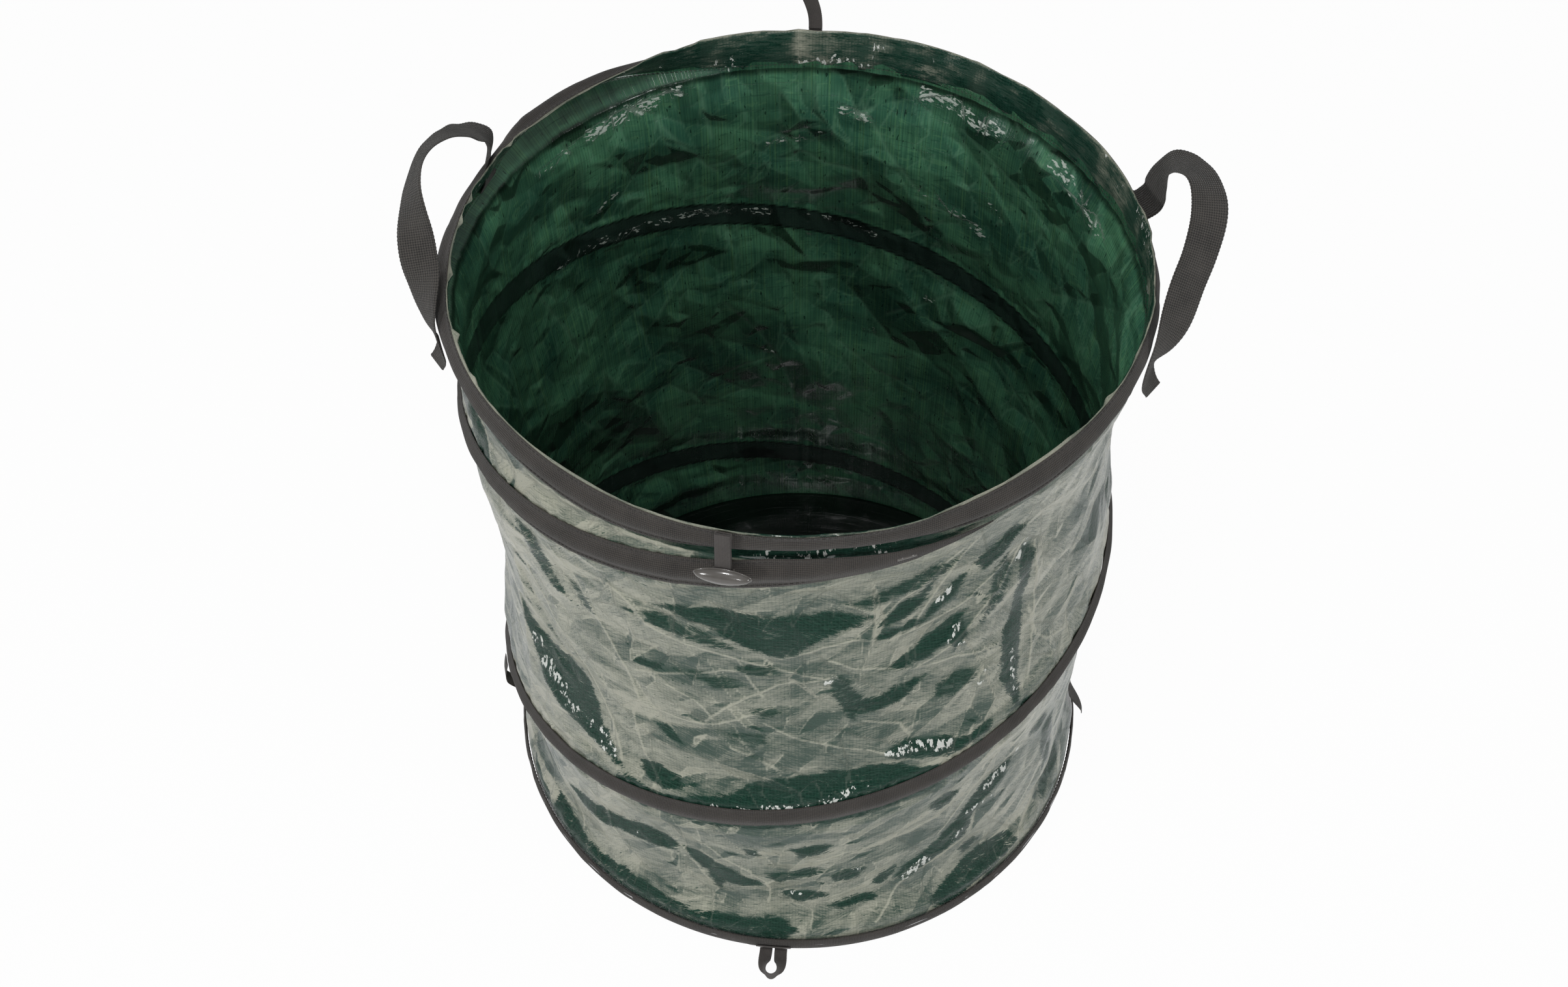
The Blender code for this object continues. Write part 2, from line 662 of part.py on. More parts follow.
def build():
    clear_scene()
    bag = make_collection("pop_up_leaf_bag")
    cutters = make_collection("cutters")
    cutters.hide_render = True
    green = make_material("green_woven_sheet", (0.055, 0.13, 0.10), 0.35)
    band = make_material("grey_brown_tape", (0.060, 0.048, 0.044), 0.85)
    webbing = make_material("black_webbing", (0.022, 0.022, 0.024), 0.80)
    plastic = make_material("dark_plastic", (0.040, 0.036, 0.034), 0.30)
    steel = make_material("spring_steel", (0.45, 0.45, 0.46), 0.35, 1.0)

    wall("wall_panel", green, bag)
    disc("base_panel", INSIDE, 0, SHEET, green, bag)
    tube("rim_hem", INSIDE, BAG_HEIGHT - HEM_HEIGHT, BAG_HEIGHT, SHEET, green, bag)
    ring_binding("rim_binding", RIM_BAND, RIM_TOP - RIM_BAND / 2, band, bag)
    ring_binding("base_binding", BASE_BAND, BASE_BAND / 2, band, bag)
    coil_binding("coil_binding", band, bag, cutters)

    ring_wire("rim_wire", RIM_TOP - RIM_BAND / 2, steel, bag)
    sleeve("rim_wire_sleeve", RIM_TOP - RIM_BAND / 2, steel, bag)
    ring_wire("base_wire", BASE_BAND / 2, steel, bag)
    sleeve("base_wire_sleeve", BASE_BAND / 2, steel, bag)
    cap_room = 2 * GAP + SLEEVE_RADIUS
    first = math.ceil(coil_step(RIM_FOOT - cap_room))
    last = math.floor(coil_step(BASE_BAND + cap_room))
    corners = [coil_corner(step, WIRE_REACH) for step in range(first, last + 1)]
    top_end = (corners[0] + corners[1]) / 2
    foot_end = (corners[-1] + corners[-2]) / 2
    wire("coil_wire", [top_end, *corners[1:-1], foot_end], steel, bag)
    end_cap("coil_top_cap", top_end, corners[1], plastic, bag)
    end_cap("coil_foot_cap", foot_end, corners[-2], plastic, bag)
    splice("coil_tape_splice", band, bag)
    tail("coil_tape_tail", band, bag)

    for side_name in HANDLE_AZIMUTHS:
        handle(side_name, webbing, bag)
    for which in STRAP_AZIMUTHS:
        toggle(which, strap(which, band, bag), plastic, bag, cutters)
        base_loop(which, band, bag)
    for owner in bag.objects:
        shade(owner)


build()
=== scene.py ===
# %% [markdown]
# # A pop up leaf bag
# The bag is a cylinder of green woven sheet, held open by a spring wire that runs down it in
# a coil. The wire lies in dark tape sewn round the mouth, round the foot and along the coil.
# The frame is the bag's imported CAD model. It is loaded first, and every piece made here
# but the handles rides on one of its bodies and stands where its solid stands.

# %% Load the frame
import math

import bmesh
import bpy
import numpy as np
from mathutils import Matrix, Vector, geometry


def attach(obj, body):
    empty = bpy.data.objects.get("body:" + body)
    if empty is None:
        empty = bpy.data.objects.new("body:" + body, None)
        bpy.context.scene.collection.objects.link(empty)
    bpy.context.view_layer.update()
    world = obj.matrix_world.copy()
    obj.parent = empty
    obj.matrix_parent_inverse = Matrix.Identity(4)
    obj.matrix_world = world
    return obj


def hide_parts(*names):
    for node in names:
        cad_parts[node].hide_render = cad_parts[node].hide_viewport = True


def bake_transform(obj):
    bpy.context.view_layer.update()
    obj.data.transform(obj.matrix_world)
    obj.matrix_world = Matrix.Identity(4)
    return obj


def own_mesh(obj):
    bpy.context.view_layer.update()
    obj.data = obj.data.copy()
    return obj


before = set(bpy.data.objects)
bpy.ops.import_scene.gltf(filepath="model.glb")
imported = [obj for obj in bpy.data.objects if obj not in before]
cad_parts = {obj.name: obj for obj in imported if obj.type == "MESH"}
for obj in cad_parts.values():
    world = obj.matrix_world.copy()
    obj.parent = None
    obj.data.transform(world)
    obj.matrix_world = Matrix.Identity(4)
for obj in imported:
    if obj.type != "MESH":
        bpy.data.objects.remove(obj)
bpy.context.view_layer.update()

# %% [markdown]
# The sizes are the real ones, in metres, and the same as in the part's source. Places round
# the bag are given by an azimuth in degrees: 0 is the front, 90 the right side.

# %% Sizes that the pieces share
BAG_RADIUS = 0.280
BAG_HEIGHT = 0.640
SHEET = 0.0009
TAPE = 0.0008
GAP = 0.0003
RIM_BAND = 0.033
COIL_BAND = 0.033
BASE_BAND = 0.022
BASE_TAPE = 0.0165
HEM_HEIGHT = 0.035
LIP = 0.003
HUMP = 0.0050
WIRE = 0.0030
SEAT = 0.2861
RIM_TOP = BAG_HEIGHT - LIP
RIM_FOOT = RIM_TOP - RIM_BAND
COIL_TOP_AZIMUTH = 48.0
COIL_STEPS = 110
COIL_STEP = 6.0
COIL_TOP = BAG_HEIGHT - 0.002
COIL_DROP = COIL_TOP - 0.003
GIRTH = 2 * math.pi * BAG_RADIUS


def place(azimuth, reach, height):
    """Points at azimuths in degrees, reaches from the axis and heights."""
    turn = np.radians(azimuth)
    spots = np.broadcast_arrays(reach * np.sin(turn), -reach * np.cos(turn), height)
    return np.stack(spots, axis=-1)


def swell(azimuth, middle, half_width):
    """A smooth hump round the bag: 1 at its middle, 0 from half_width degrees away."""
    away = np.abs((azimuth - middle + 180) % 360 - 180) / half_width
    return np.where(away < 1, 0.5 + 0.5 * np.cos(np.pi * np.minimum(away, 1)), 0.0)


def ease(share):
    """A share from 0 to 1 that starts and ends slowly."""
    share = np.clip(share, 0, 1)
    return share * share * (3 - 2 * share)


def coil_height(azimuth, turn=0):
    """Height of the coil's middle where it passes an azimuth for the first or a later time."""
    step = (COIL_TOP_AZIMUTH - azimuth + 360 * turn) / COIL_STEP
    return COIL_TOP - COIL_DROP * step / COIL_STEPS


print("girth of the bag:", round(GIRTH, 4), "m")

# %% [markdown]
# The camera stands where the photographer stood: in front of the bag and well above it,
# looking down into the open mouth. The floor is a pale sheet. It is white to the camera and
# in reflections through Light Path, and stays a plain pale surface for the light.

# %% Camera, floor and light
scene = bpy.context.scene
scene.view_settings.view_transform = "Standard"


def in_scene(name, data):
    """A new object in the scene, made of this data."""
    made = bpy.data.objects.new(name, data)
    scene.collection.objects.link(made)
    return made


camera_data = bpy.data.cameras.new("camera")
camera = in_scene("camera", camera_data)
camera.location = (0.0, -1.1396, 1.7223)
camera.rotation_euler = (math.radians(39.1), 0, 0)
camera_data.lens = 45.27
camera_data.sensor_width = 36
camera_data.shift_x = -0.0093
camera_data.shift_y = 0.0083
scene.camera = camera


def add_node(tree, kind, inputs=None, **settings):
    """A shader node with its settings, and its inputs given as values or as sockets."""
    made = tree.nodes.new(kind)
    for name, value in settings.items():
        setattr(made, name, value)
    for name, value in (inputs or {}).items():
        if isinstance(value, bpy.types.NodeSocket):
            tree.links.new(value, made.inputs[name])
        else:
            made.inputs[name].default_value = value
    return made


def new_material(name):
    made = bpy.data.materials.new(name)
    made.use_nodes = True
    made.node_tree.nodes.clear()
    output = made.node_tree.nodes.new("ShaderNodeOutputMaterial")
    return made, made.node_tree, output


def maths(tree, operation, first, second=0.0, third=0.0, clamp=False):
    """One Math node, as a socket."""
    made = add_node(tree, "ShaderNodeMath", {0: first, 1: second, 2: third}, operation=operation)
    made.use_clamp = clamp
    return made.outputs[0]


def colours(tree, share, first, second, blend="MIX"):
    """One Mix node for colours, as a socket. A plain colour is red, green and blue."""
    first, second = ((*side, 1) if isinstance(side, tuple) else side for side in (first, second))
    made = add_node(tree, "ShaderNodeMix", {0: share, 6: first, 7: second}, data_type="RGBA")
    made.blend_type = blend
    return made.outputs[2]


def ramp(tree, value, low, high, start=0.0, end=1.0):
    """A smooth step of a value between low and high."""
    inputs = {"Value": value, "From Min": low, "From Max": high, "To Min": start, "To Max": end}
    made = add_node(tree, "ShaderNodeMapRange", inputs, interpolation_type="SMOOTHSTEP")
    return made.outputs[0]


FLOOR_HALF = 6.0
floor_mesh = bpy.data.meshes.new("floor")
floor_signs = ((-1, -1), (1, -1), (1, 1), (-1, 1))
floor_corners = [(x * FLOOR_HALF, y * FLOOR_HALF, 0) for x, y in floor_signs]
floor_mesh.from_pydata(floor_corners, [], [(0, 1, 2, 3)])
floor = in_scene("floor", floor_mesh)
paper, tree, output = new_material("pale_floor")
rays = add_node(tree, "ShaderNodeLightPath")
spot = add_node(tree, "ShaderNodeTexCoord").outputs["Object"]
far = add_node(tree, "ShaderNodeVectorMath", {0: spot}, operation="LENGTH").outputs["Value"]
near = ramp(tree, far, 0.42, 1.05, 1.0, 0.08)
mirrored = maths(tree, "MULTIPLY", rays.outputs["Is Glossy Ray"], near)
seen = maths(tree, "MAXIMUM", rays.outputs["Is Camera Ray"], mirrored)
seen = maths(tree, "MAXIMUM", seen, rays.outputs["Is Transmission Ray"])
matt = add_node(tree, "ShaderNodeBsdfDiffuse", {"Color": (0.80, 0.80, 0.79, 1)})
white = add_node(tree, "ShaderNodeEmission", {"Color": (1, 1, 1, 1), "Strength": 1.0})
share = maths(tree, "MULTIPLY", seen, 0.97)
both = add_node(tree, "ShaderNodeMixShader", {0: share, 1: matt.outputs[0], 2: white.outputs[0]})
tree.links.new(both.outputs[0], output.inputs["Surface"])
floor_mesh.materials.append(paper)

world = bpy.data.worlds.new("studio")
scene.world = world
world.use_nodes = True
tree = world.node_tree
tree.nodes.clear()
output = tree.nodes.new("ShaderNodeOutputWorld")
direction = add_node(tree, "ShaderNodeTexCoord").outputs["Generated"]
height = add_node(tree, "ShaderNodeSeparateXYZ", {0: direction}).outputs["Z"]
upper = ramp(tree, height, 0.05, 0.75)
sky = colours(tree, upper, (0.26, 0.27, 0.26), (0.55, 0.56, 0.56))
background = add_node(tree, "ShaderNodeBackground", {"Color": sky, "Strength": 0.55})
tree.links.new(background.outputs[0], output.inputs["Surface"])


def area_lamp(name, where, aim, size, watts):
    data = bpy.data.lights.new(name, "AREA")
    data.size = size
    data.energy = watts
    made = in_scene(name, data)
    made.location = where
    made.rotation_euler = (Vector(aim) - Vector(where)).to_track_quat("-Z", "Y").to_euler()


area_lamp("left_lamp", (-1.9, -1.7, 1.25), (0, 0, 0.35), 0.45, 17)
area_lamp("right_lamp", (1.9, -1.5, 1.15), (0, 0, 0.35), 0.45, 11)
area_lamp("front_lamp", (0.3, -2.6, 1.30), (0, 0, 0.35), 0.30, 6)
area_lamp("mouth_lamp", (-0.2, -0.9, 2.7), (0, 0.2, 0.35), 0.45, 20)
print("camera lens:", camera_data.lens, "mm")

# %% [markdown]
# The finishes are put together from a few small helpers: a value that the mesh carries, the
# cloth's own coordinates, the lines of the weave, noise that is drawn out along it, and
# ways to add these up or to tint a colour with them. Each finish ends in one shader.

# %% Helpers for the finishes
WEAVE_PITCH = 0.0029


def attribute(tree, name):
    """A value that the mesh carries at each place, under the name of its mark."""
    return add_node(tree, "ShaderNodeAttribute", attribute_name=name).outputs["Fac"]


def cloth_places(tree):
    """The cloth's own coordinates in metres: as a vector, round the bag, and up."""
    cloth = add_node(tree, "ShaderNodeUVMap", uv_map="cloth").outputs[0]
    parts = add_node(tree, "ShaderNodeSeparateXYZ", {0: cloth})
    return cloth, parts.outputs["X"], parts.outputs["Y"]


def along_grain(tree, cloth):
    """The cloth's coordinates, turned by the grain of each facet."""
    inputs = {"Vector": cloth, "Angle": attribute(tree, "grain")}
    return add_node(tree, "ShaderNodeVectorRotate", inputs, rotation_type="Z_AXIS").outputs[0]


def weave_lines(tree, along, sharpness):
    """Thin lines where one woven tape meets the next: 1 on the line, 0 between."""
    turns = maths(tree, "MULTIPLY", along, math.pi / WEAVE_PITCH)
    wave = maths(tree, "ABSOLUTE", maths(tree, "SINE", turns))
    return maths(tree, "POWER", maths(tree, "SUBTRACT", 1.0, wave), sharpness)


def stretched_noise(tree, cloth, across, up, scale, detail=3.0, offset=0.0):
    """Noise on the cloth, drawn out along one way of the weave."""
    mapped = add_node(tree, "ShaderNodeMapping", {"Vector": cloth, "Scale": (across, up, 1)})
    mapped.inputs["Location"].default_value = (offset, offset * 0.7, 0)
    inputs = {"Vector": mapped.outputs[0], "Scale": scale, "Detail": detail, "Roughness": 0.6}
    return add_node(tree, "ShaderNodeTexNoise", inputs).outputs["Fac"]


def varied(tree, start, *parts):
    """A value with noises added to it, each spread to run evenly about zero, and its weight."""
    for noise, weight in parts:
        spread = ramp(tree, noise, 0.30, 0.70, -weight / 2, weight / 2)
        start = maths(tree, "ADD", start, spread)
    return start


def summed_up(tree, start, *parts):
    """A value with others added to it, each times its weight."""
    for part, weight in parts:
        start = maths(tree, "MULTIPLY_ADD", part, weight, start)
    return start


def tinted(tree, colour, where, amount, tint):
    """A colour drawn towards a tint by an amount, where a value is 1."""
    return colours(tree, maths(tree, "MULTIPLY", where, amount), colour, tint)


def sparks(tree, cloth, across, up):
    """Bright strokes painted as glints, where small crisp wrinkles of the film would mirror a lamp.
    """
    strokes = stretched_noise(tree, cloth, across, up, 115, 4, 6.1)
    clumps = ramp(tree, stretched_noise(tree, cloth, 1, 1.6, 36, 2, 2.7), 0.34, 0.62, 0.55, 1.1)
    glint_zone = maths(tree, "MULTIPLY", attribute(tree, "glint_zone"), clumps)
    full = maths(tree, "MULTIPLY", ramp(tree, strokes, 0.33, 0.67), glint_zone)
    return ramp(tree, full, 0.56, 0.66), maths(tree, "MULTIPLY", strokes, glint_zone)


def bumped(tree, height, strength, depth):
    """A Bump node, as a socket: heights from 0 to 1 are worth a depth in metres."""
    inputs = {"Strength": strength, "Distance": depth, "Height": height}
    return add_node(tree, "ShaderNodeBump", inputs).outputs[0]


def surface(tree, output, **inputs):
    """The one shader that every finish ends in."""
    named = {name.replace("_", " "): value for name, value in inputs.items()}
    shader = add_node(tree, "ShaderNodeBsdfPrincipled", named)
    tree.links.new(shader.outputs[0], output.inputs["Surface"])


print("one woven tape is", WEAVE_PITCH * 1000, "mm wide")

# %% [markdown]
# The sheet is a laminate: woven flat tapes between two thin clear films. Outside, its colour
# holds a painted reflection: a pale painted sheen where the film lies towards the floor, as if
# it mirrored the white floor, and the film's own deep green where it turns up and would mirror
# the dark room, with crisp edges along the creases. The wall's mesh carries how far each place
# tilts, and the material turns that into painted sheen and dark patches, frayed by fine
# streaks that run with the weave.

# %% Material of the sheet, outside
# Painted reflection: the sheen colours are the painted mirror of the floor, the deep colours the
# film's own green where no sheen is painted, and the glint colour a painted highlight.
SHEEN_LOW, SHEEN_HIGH = (0.032, 0.068, 0.050), (0.430, 0.430, 0.345)
DEEP_LOW, DEEP_HIGH = (0.003, 0.022, 0.014), (0.018, 0.062, 0.042)
DEEP_GRID, DEEP_CREASE_HIGHLIGHT = (0.045, 0.090, 0.070), (0.10, 0.13, 0.105)
OUTSIDE_GLINT = (0.80, 0.82, 0.78)


def outside_film():
    made, tree, output = new_material("sheet_outside")
    cloth, round_bag, up_bag = cloth_places(tree)
    turned = along_grain(tree, cloth)
    streaks = stretched_noise(tree, turned, 1, 8, 48, 5)
    hairs = stretched_noise(tree, turned, 1, 7, 150, 4, 3.1)
    ripples = stretched_noise(tree, cloth, 1, 1.6, 170, 3, 1.1)
    clouds = stretched_noise(tree, cloth, 1, 1.3, 16, 4, 5.3)
    patches = stretched_noise(tree, turned, 1, 3.2, 44, 4, 8.3)
    fraying = ((streaks, 0.62), (patches, 0.44), (hairs, 0.60))
    # Where this mark is high the painted sheen is left out and the film shows its dark green.
    frayed = varied(tree, attribute(tree, "clear"), *fraying)
    clear = ramp(tree, frayed, 0.46, 0.54)
    # Pale lines along the creases are painted highlights.
    crease_highlight = ramp(tree, attribute(tree, "crease_highlight"), 0.30, 0.95)
    lines, cross_lines = (weave_lines(tree, along, 4) for along in (round_bag, up_bag))
    grid = maths(tree, "MAXIMUM", lines, cross_lines)
    shading = ((clouds, 0.34), (streaks, 0.52), (hairs, 0.56))
    # Painted light: the sheen's brightness follows each facet's tilt, fine streaks and the creases,
    # and drops by the dark patches and along the weave's lines.
    painted_light = varied(tree, attribute(tree, "painted_light"), *shading)
    painted_light = summed_up(tree, painted_light, (crease_highlight, 0.60), (ramp(tree, frayed, 0.0, 0.5), -0.22))
    painted_light = maths(tree, "MULTIPLY_ADD", grid, -0.24, painted_light, clamp=True)
    # Painted sheen from dark to pale, then the film's own deep green with its weave lines and
    # painted highlights along the creases.
    pale = colours(tree, painted_light, SHEEN_LOW, SHEEN_HIGH)
    deep = colours(tree, ramp(tree, hairs, 0.35, 0.7), DEEP_LOW, DEEP_HIGH)
    deep = tinted(tree, deep, grid, 0.35, DEEP_GRID)
    deep = tinted(tree, deep, crease_highlight, 0.5, DEEP_CREASE_HIGHLIGHT)
    # Painted glints.
    glints, wrinkles = sparks(tree, cloth, 2.3, 1)
    colour = tinted(tree, colours(tree, clear, pale, deep), glints, 0.9, OUTSIDE_GLINT)
    relief = maths(tree, "MULTIPLY", streaks, 0.6)
    parts = ((ripples, 0.50), (hairs, 0.35), (grid, -0.08), (wrinkles, 2.2))
    surface(
        tree,
        output,
        Base_Color=colour,
        Roughness=maths(tree, "MULTIPLY_ADD", clear, -0.17, 0.34),
        IOR=1.45,
        Specular_IOR_Level=maths(tree, "MULTIPLY_ADD", clear, -0.16, 0.28),
        Normal=bumped(tree, summed_up(tree, relief, *parts), 0.6, 0.0011),
        Coat_Weight=maths(tree, "MULTIPLY_ADD", clear, -0.09, 0.15),
        Coat_Roughness=0.07,
        Coat_IOR=1.5,
    )
    return made


sheet_outside = outside_film()
print("nodes of the outside:", len(sheet_outside.node_tree.nodes))

# %% [markdown]
# Inside, the same sheet looks a saturated green, because light comes through it; that light
# is painted into its colour, with painted shade lower down and along its folds, painted
# highlights along its creases and painted glints. Its tapes show as fine upright and level
# lines, with short dark flecks where a tape is folded. Behind the sewn bands no light comes
# through, so the sheet there is nearly black and shiny, and a painted shadow lies under the hem.

# %% Material of the sheet, inside
LIT_GREEN_LOW, LIT_GREEN_HIGH = (0.028, 0.098, 0.062), (0.070, 0.200, 0.110)
LIT_YELLOW_GREEN, BAR_GREEN = (0.100, 0.230, 0.090), (0.010, 0.050, 0.032)
THREAD_GREEN, INSIDE_CREASE_HIGHLIGHT = (0.006, 0.030, 0.020), (0.130, 0.270, 0.170)
BEND_SHADE, BEND_HIGHLIGHT = (0.010, 0.046, 0.032), (0.120, 0.270, 0.130)
FLECK_DARK, SEAM_AND_SHADOW_DARK = (0.003, 0.016, 0.011), (0.003, 0.005, 0.004)
BAND_DARK = (0.016, 0.028, 0.024)
INSIDE_GLINT = (0.60, 0.66, 0.60)
DEPTH_SHADE = 0.22


def inside_film():
    made, tree, output = new_material("sheet_inside")
    cloth, round_bag, up_bag = cloth_places(tree)
    turned = along_grain(tree, cloth)
    upright = stretched_noise(tree, cloth, 60, 1, 7, 4)
    level = stretched_noise(tree, cloth, 1, 60, 7, 4, 2.3)
    clouds = stretched_noise(tree, cloth, 1, 1, 13, 3, 5.3)
    flecks = stretched_noise(tree, cloth, 3.4, 1, 105, 1, 7.7)
    ripples = stretched_noise(tree, cloth, 1, 1, 110, 3, 1.9)
    bends = stretched_noise(tree, turned, 1, 5, 30, 3, 3.7)
    lines, cross_lines = weave_lines(tree, round_bag, 3), weave_lines(tree, up_bag, 5)
    threads = maths(tree, "MULTIPLY", lines, ramp(tree, upright, 0.38, 0.62))
    cross_threads = maths(tree, "MULTIPLY", cross_lines, ramp(tree, level, 0.50, 0.64))
    grid = maths(tree, "MAXIMUM", threads, cross_threads)
    # The green holds painted light that comes through the sheet, lighter yellow-green in streaks
    # along the upright tapes.
    green = colours(tree, ramp(tree, clouds, 0.34, 0.66), LIT_GREEN_LOW, LIT_GREEN_HIGH)
    green = colours(tree, ramp(tree, upright, 0.50, 0.72, 0, 0.45), green, LIT_YELLOW_GREEN)
    green = tinted(tree, green, ramp(tree, upright, 0.50, 0.36), 0.46, BAR_GREEN)
    green = tinted(tree, green, grid, 0.72, THREAD_GREEN)
    # Painted shade and painted highlights in streaks along the sheet's small folds.
    green = colours(tree, ramp(tree, bends, 0.60, 0.63, 0, 0.35), green, BEND_SHADE)
    green = colours(tree, ramp(tree, bends, 0.40, 0.36, 0, 0.22), green, BEND_HIGHLIGHT)
    # Painted highlights along the creases.
    green = tinted(tree, green, attribute(tree, "crease_highlight"), 0.42, INSIDE_CREASE_HIGHLIGHT)
    green = tinted(tree, green, ramp(tree, flecks, 0.68, 0.73), 0.80, FLECK_DARK)
    green = tinted(tree, green, attribute(tree, "band"), 0.92, BAND_DARK)
    # Dark sewn lines by the bands, and a painted shadow under the hem.
    green = tinted(tree, green, attribute(tree, "seam_and_shadow"), 0.85, SEAM_AND_SHADOW_DARK)
    depth = attribute(tree, "depth")
    # Painted shade: darker towards the bottom of the bag.
    shade = maths(tree, "MULTIPLY_ADD", depth, -DEPTH_SHADE, 1.0, clamp=True)
    # Painted light and shade of the facets, with painted shade in the turned-up ones.
    folds = ramp(tree, attribute(tree, "painted_light"), 0.0, 1.0, 0.60, 1.48)
    clear = ramp(tree, attribute(tree, "clear"), 0.42, 0.58)
    folds = maths(tree, "MULTIPLY_ADD", clear, -0.30, folds)
    colour = colours(tree, 1.0, green, maths(tree, "MULTIPLY", shade, folds), "MULTIPLY")
    # Painted glints, inside.
    glints, wrinkles = sparks(tree, turned, 1, 2.4)
    relief = maths(tree, "MULTIPLY", grid, -0.3)
    surface(
        tree,
        output,
        Base_Color=tinted(tree, colour, glints, 0.80, INSIDE_GLINT),
        Roughness=0.26,
        IOR=1.45,
        Normal=bumped(tree, summed_up(tree, relief, (ripples, 0.6), (wrinkles, 2.2)), 0.6, 0.0009),
        Coat_Weight=0.35,
        Coat_Roughness=0.07,
    )
    return made


sheet_inside = inside_film()
print("nodes of the inside:", len(sheet_inside.node_tree.nodes))

# %% [markdown]
# Three more finishes: the tape is a fine basket weave in a warm dark grey, the handles are a
# coarse ribbed webbing that is nearly black, and the toggles are smooth smoky plastic. The
# wire and the sewing thread are hardly seen, but they have finishes too.

# %% Materials of tape, webbing, plastic, wire and thread


def tape_weave(name, dark, light, pitch, rough, depth):
    """A diagonal basket weave on the tape's own coordinates."""
    made, tree, output = new_material(name)
    cloth, run, across = cloth_places(tree)
    weave = []
    for lean in (1.0, -1.0):
        slant = maths(tree, "MULTIPLY_ADD", across, lean, run)
        weave.append(maths(tree, "SINE", maths(tree, "MULTIPLY", slant, 2 * math.pi / pitch)))
    weave = maths(tree, "MULTIPLY_ADD", maths(tree, "MULTIPLY", *weave), 0.5, 0.5)
    fluff = stretched_noise(tree, cloth, 1, 1, 900, 3)
    wear = stretched_noise(tree, cloth, 1, 1, 38, 4, 4.1)
    height = maths(tree, "MULTIPLY_ADD", fluff, 0.5, weave)
    shade = maths(tree, "MULTIPLY_ADD", maths(tree, "SUBTRACT", wear, 0.5), 0.9, height)
    surface(
        tree,
        output,
        Base_Color=colours(tree, ramp(tree, shade, 0.1, 1.3), dark, light),
        Roughness=rough,
        Normal=bumped(tree, height, 0.9, depth),
        Sheen_Weight=0.15,
        Sheen_Roughness=0.5,
    )
    return made


def grained(name, dark, light, rough_low, rough_high, scale, coat, metal=0.0):
    """A smooth finish with a faint grain in its colour, gloss and relief."""
    made, tree, output = new_material(name)
    where = add_node(tree, "ShaderNodeTexCoord").outputs["Object"]
    grain = add_node(tree, "ShaderNodeTexNoise", {"Vector": where, "Scale": scale, "Detail": 4.0})
    value = grain.outputs["Fac"]
    surface(
        tree,
        output,
        Base_Color=colours(tree, value, dark, light),
        Roughness=ramp(tree, value, 0.3, 0.7, rough_low, rough_high),
        Metallic=metal,
        Normal=bumped(tree, value, 0.3, 0.0002),
        Coat_Weight=coat,
        Coat_Roughness=0.06,
    )
    return made


band_tape = tape_weave(
    "band_tape", (0.005, 0.0042, 0.0038), (0.061, 0.052, 0.045), 0.0030, 0.84, 0.0005
)
strap_tape = tape_weave(
    "strap_tape", (0.026, 0.023, 0.022), (0.090, 0.078, 0.072), 0.0016, 0.78, 0.0003
)
webbing = tape_weave(
    "webbing", (0.004, 0.0035, 0.0035), (0.078, 0.070, 0.062), 0.0038, 0.74, 0.0011
)
plastic = grained(
    "smoky_plastic", (0.080, 0.073, 0.067), (0.125, 0.115, 0.106), 0.18, 0.28, 90, 0.7
)
steel = grained("spring_wire", (0.40, 0.40, 0.41), (0.52, 0.52, 0.53), 0.28, 0.42, 300, 0.0, 1.0)
thread = grained(
    "sewing_thread", (0.012, 0.011, 0.011), (0.050, 0.046, 0.043), 0.6, 0.8, 900, 0.0
)
print("materials:", len(bpy.data.materials))

# %% [markdown]
# Most pieces here are a cloth or a tape with two faces. One helper closes such a sheet: it
# joins two grids of points, front and back, along all their edges, lays the cloth's own
# coordinates on it in metres, and turns the faces outwards.

# %% A helper that closes a sheet


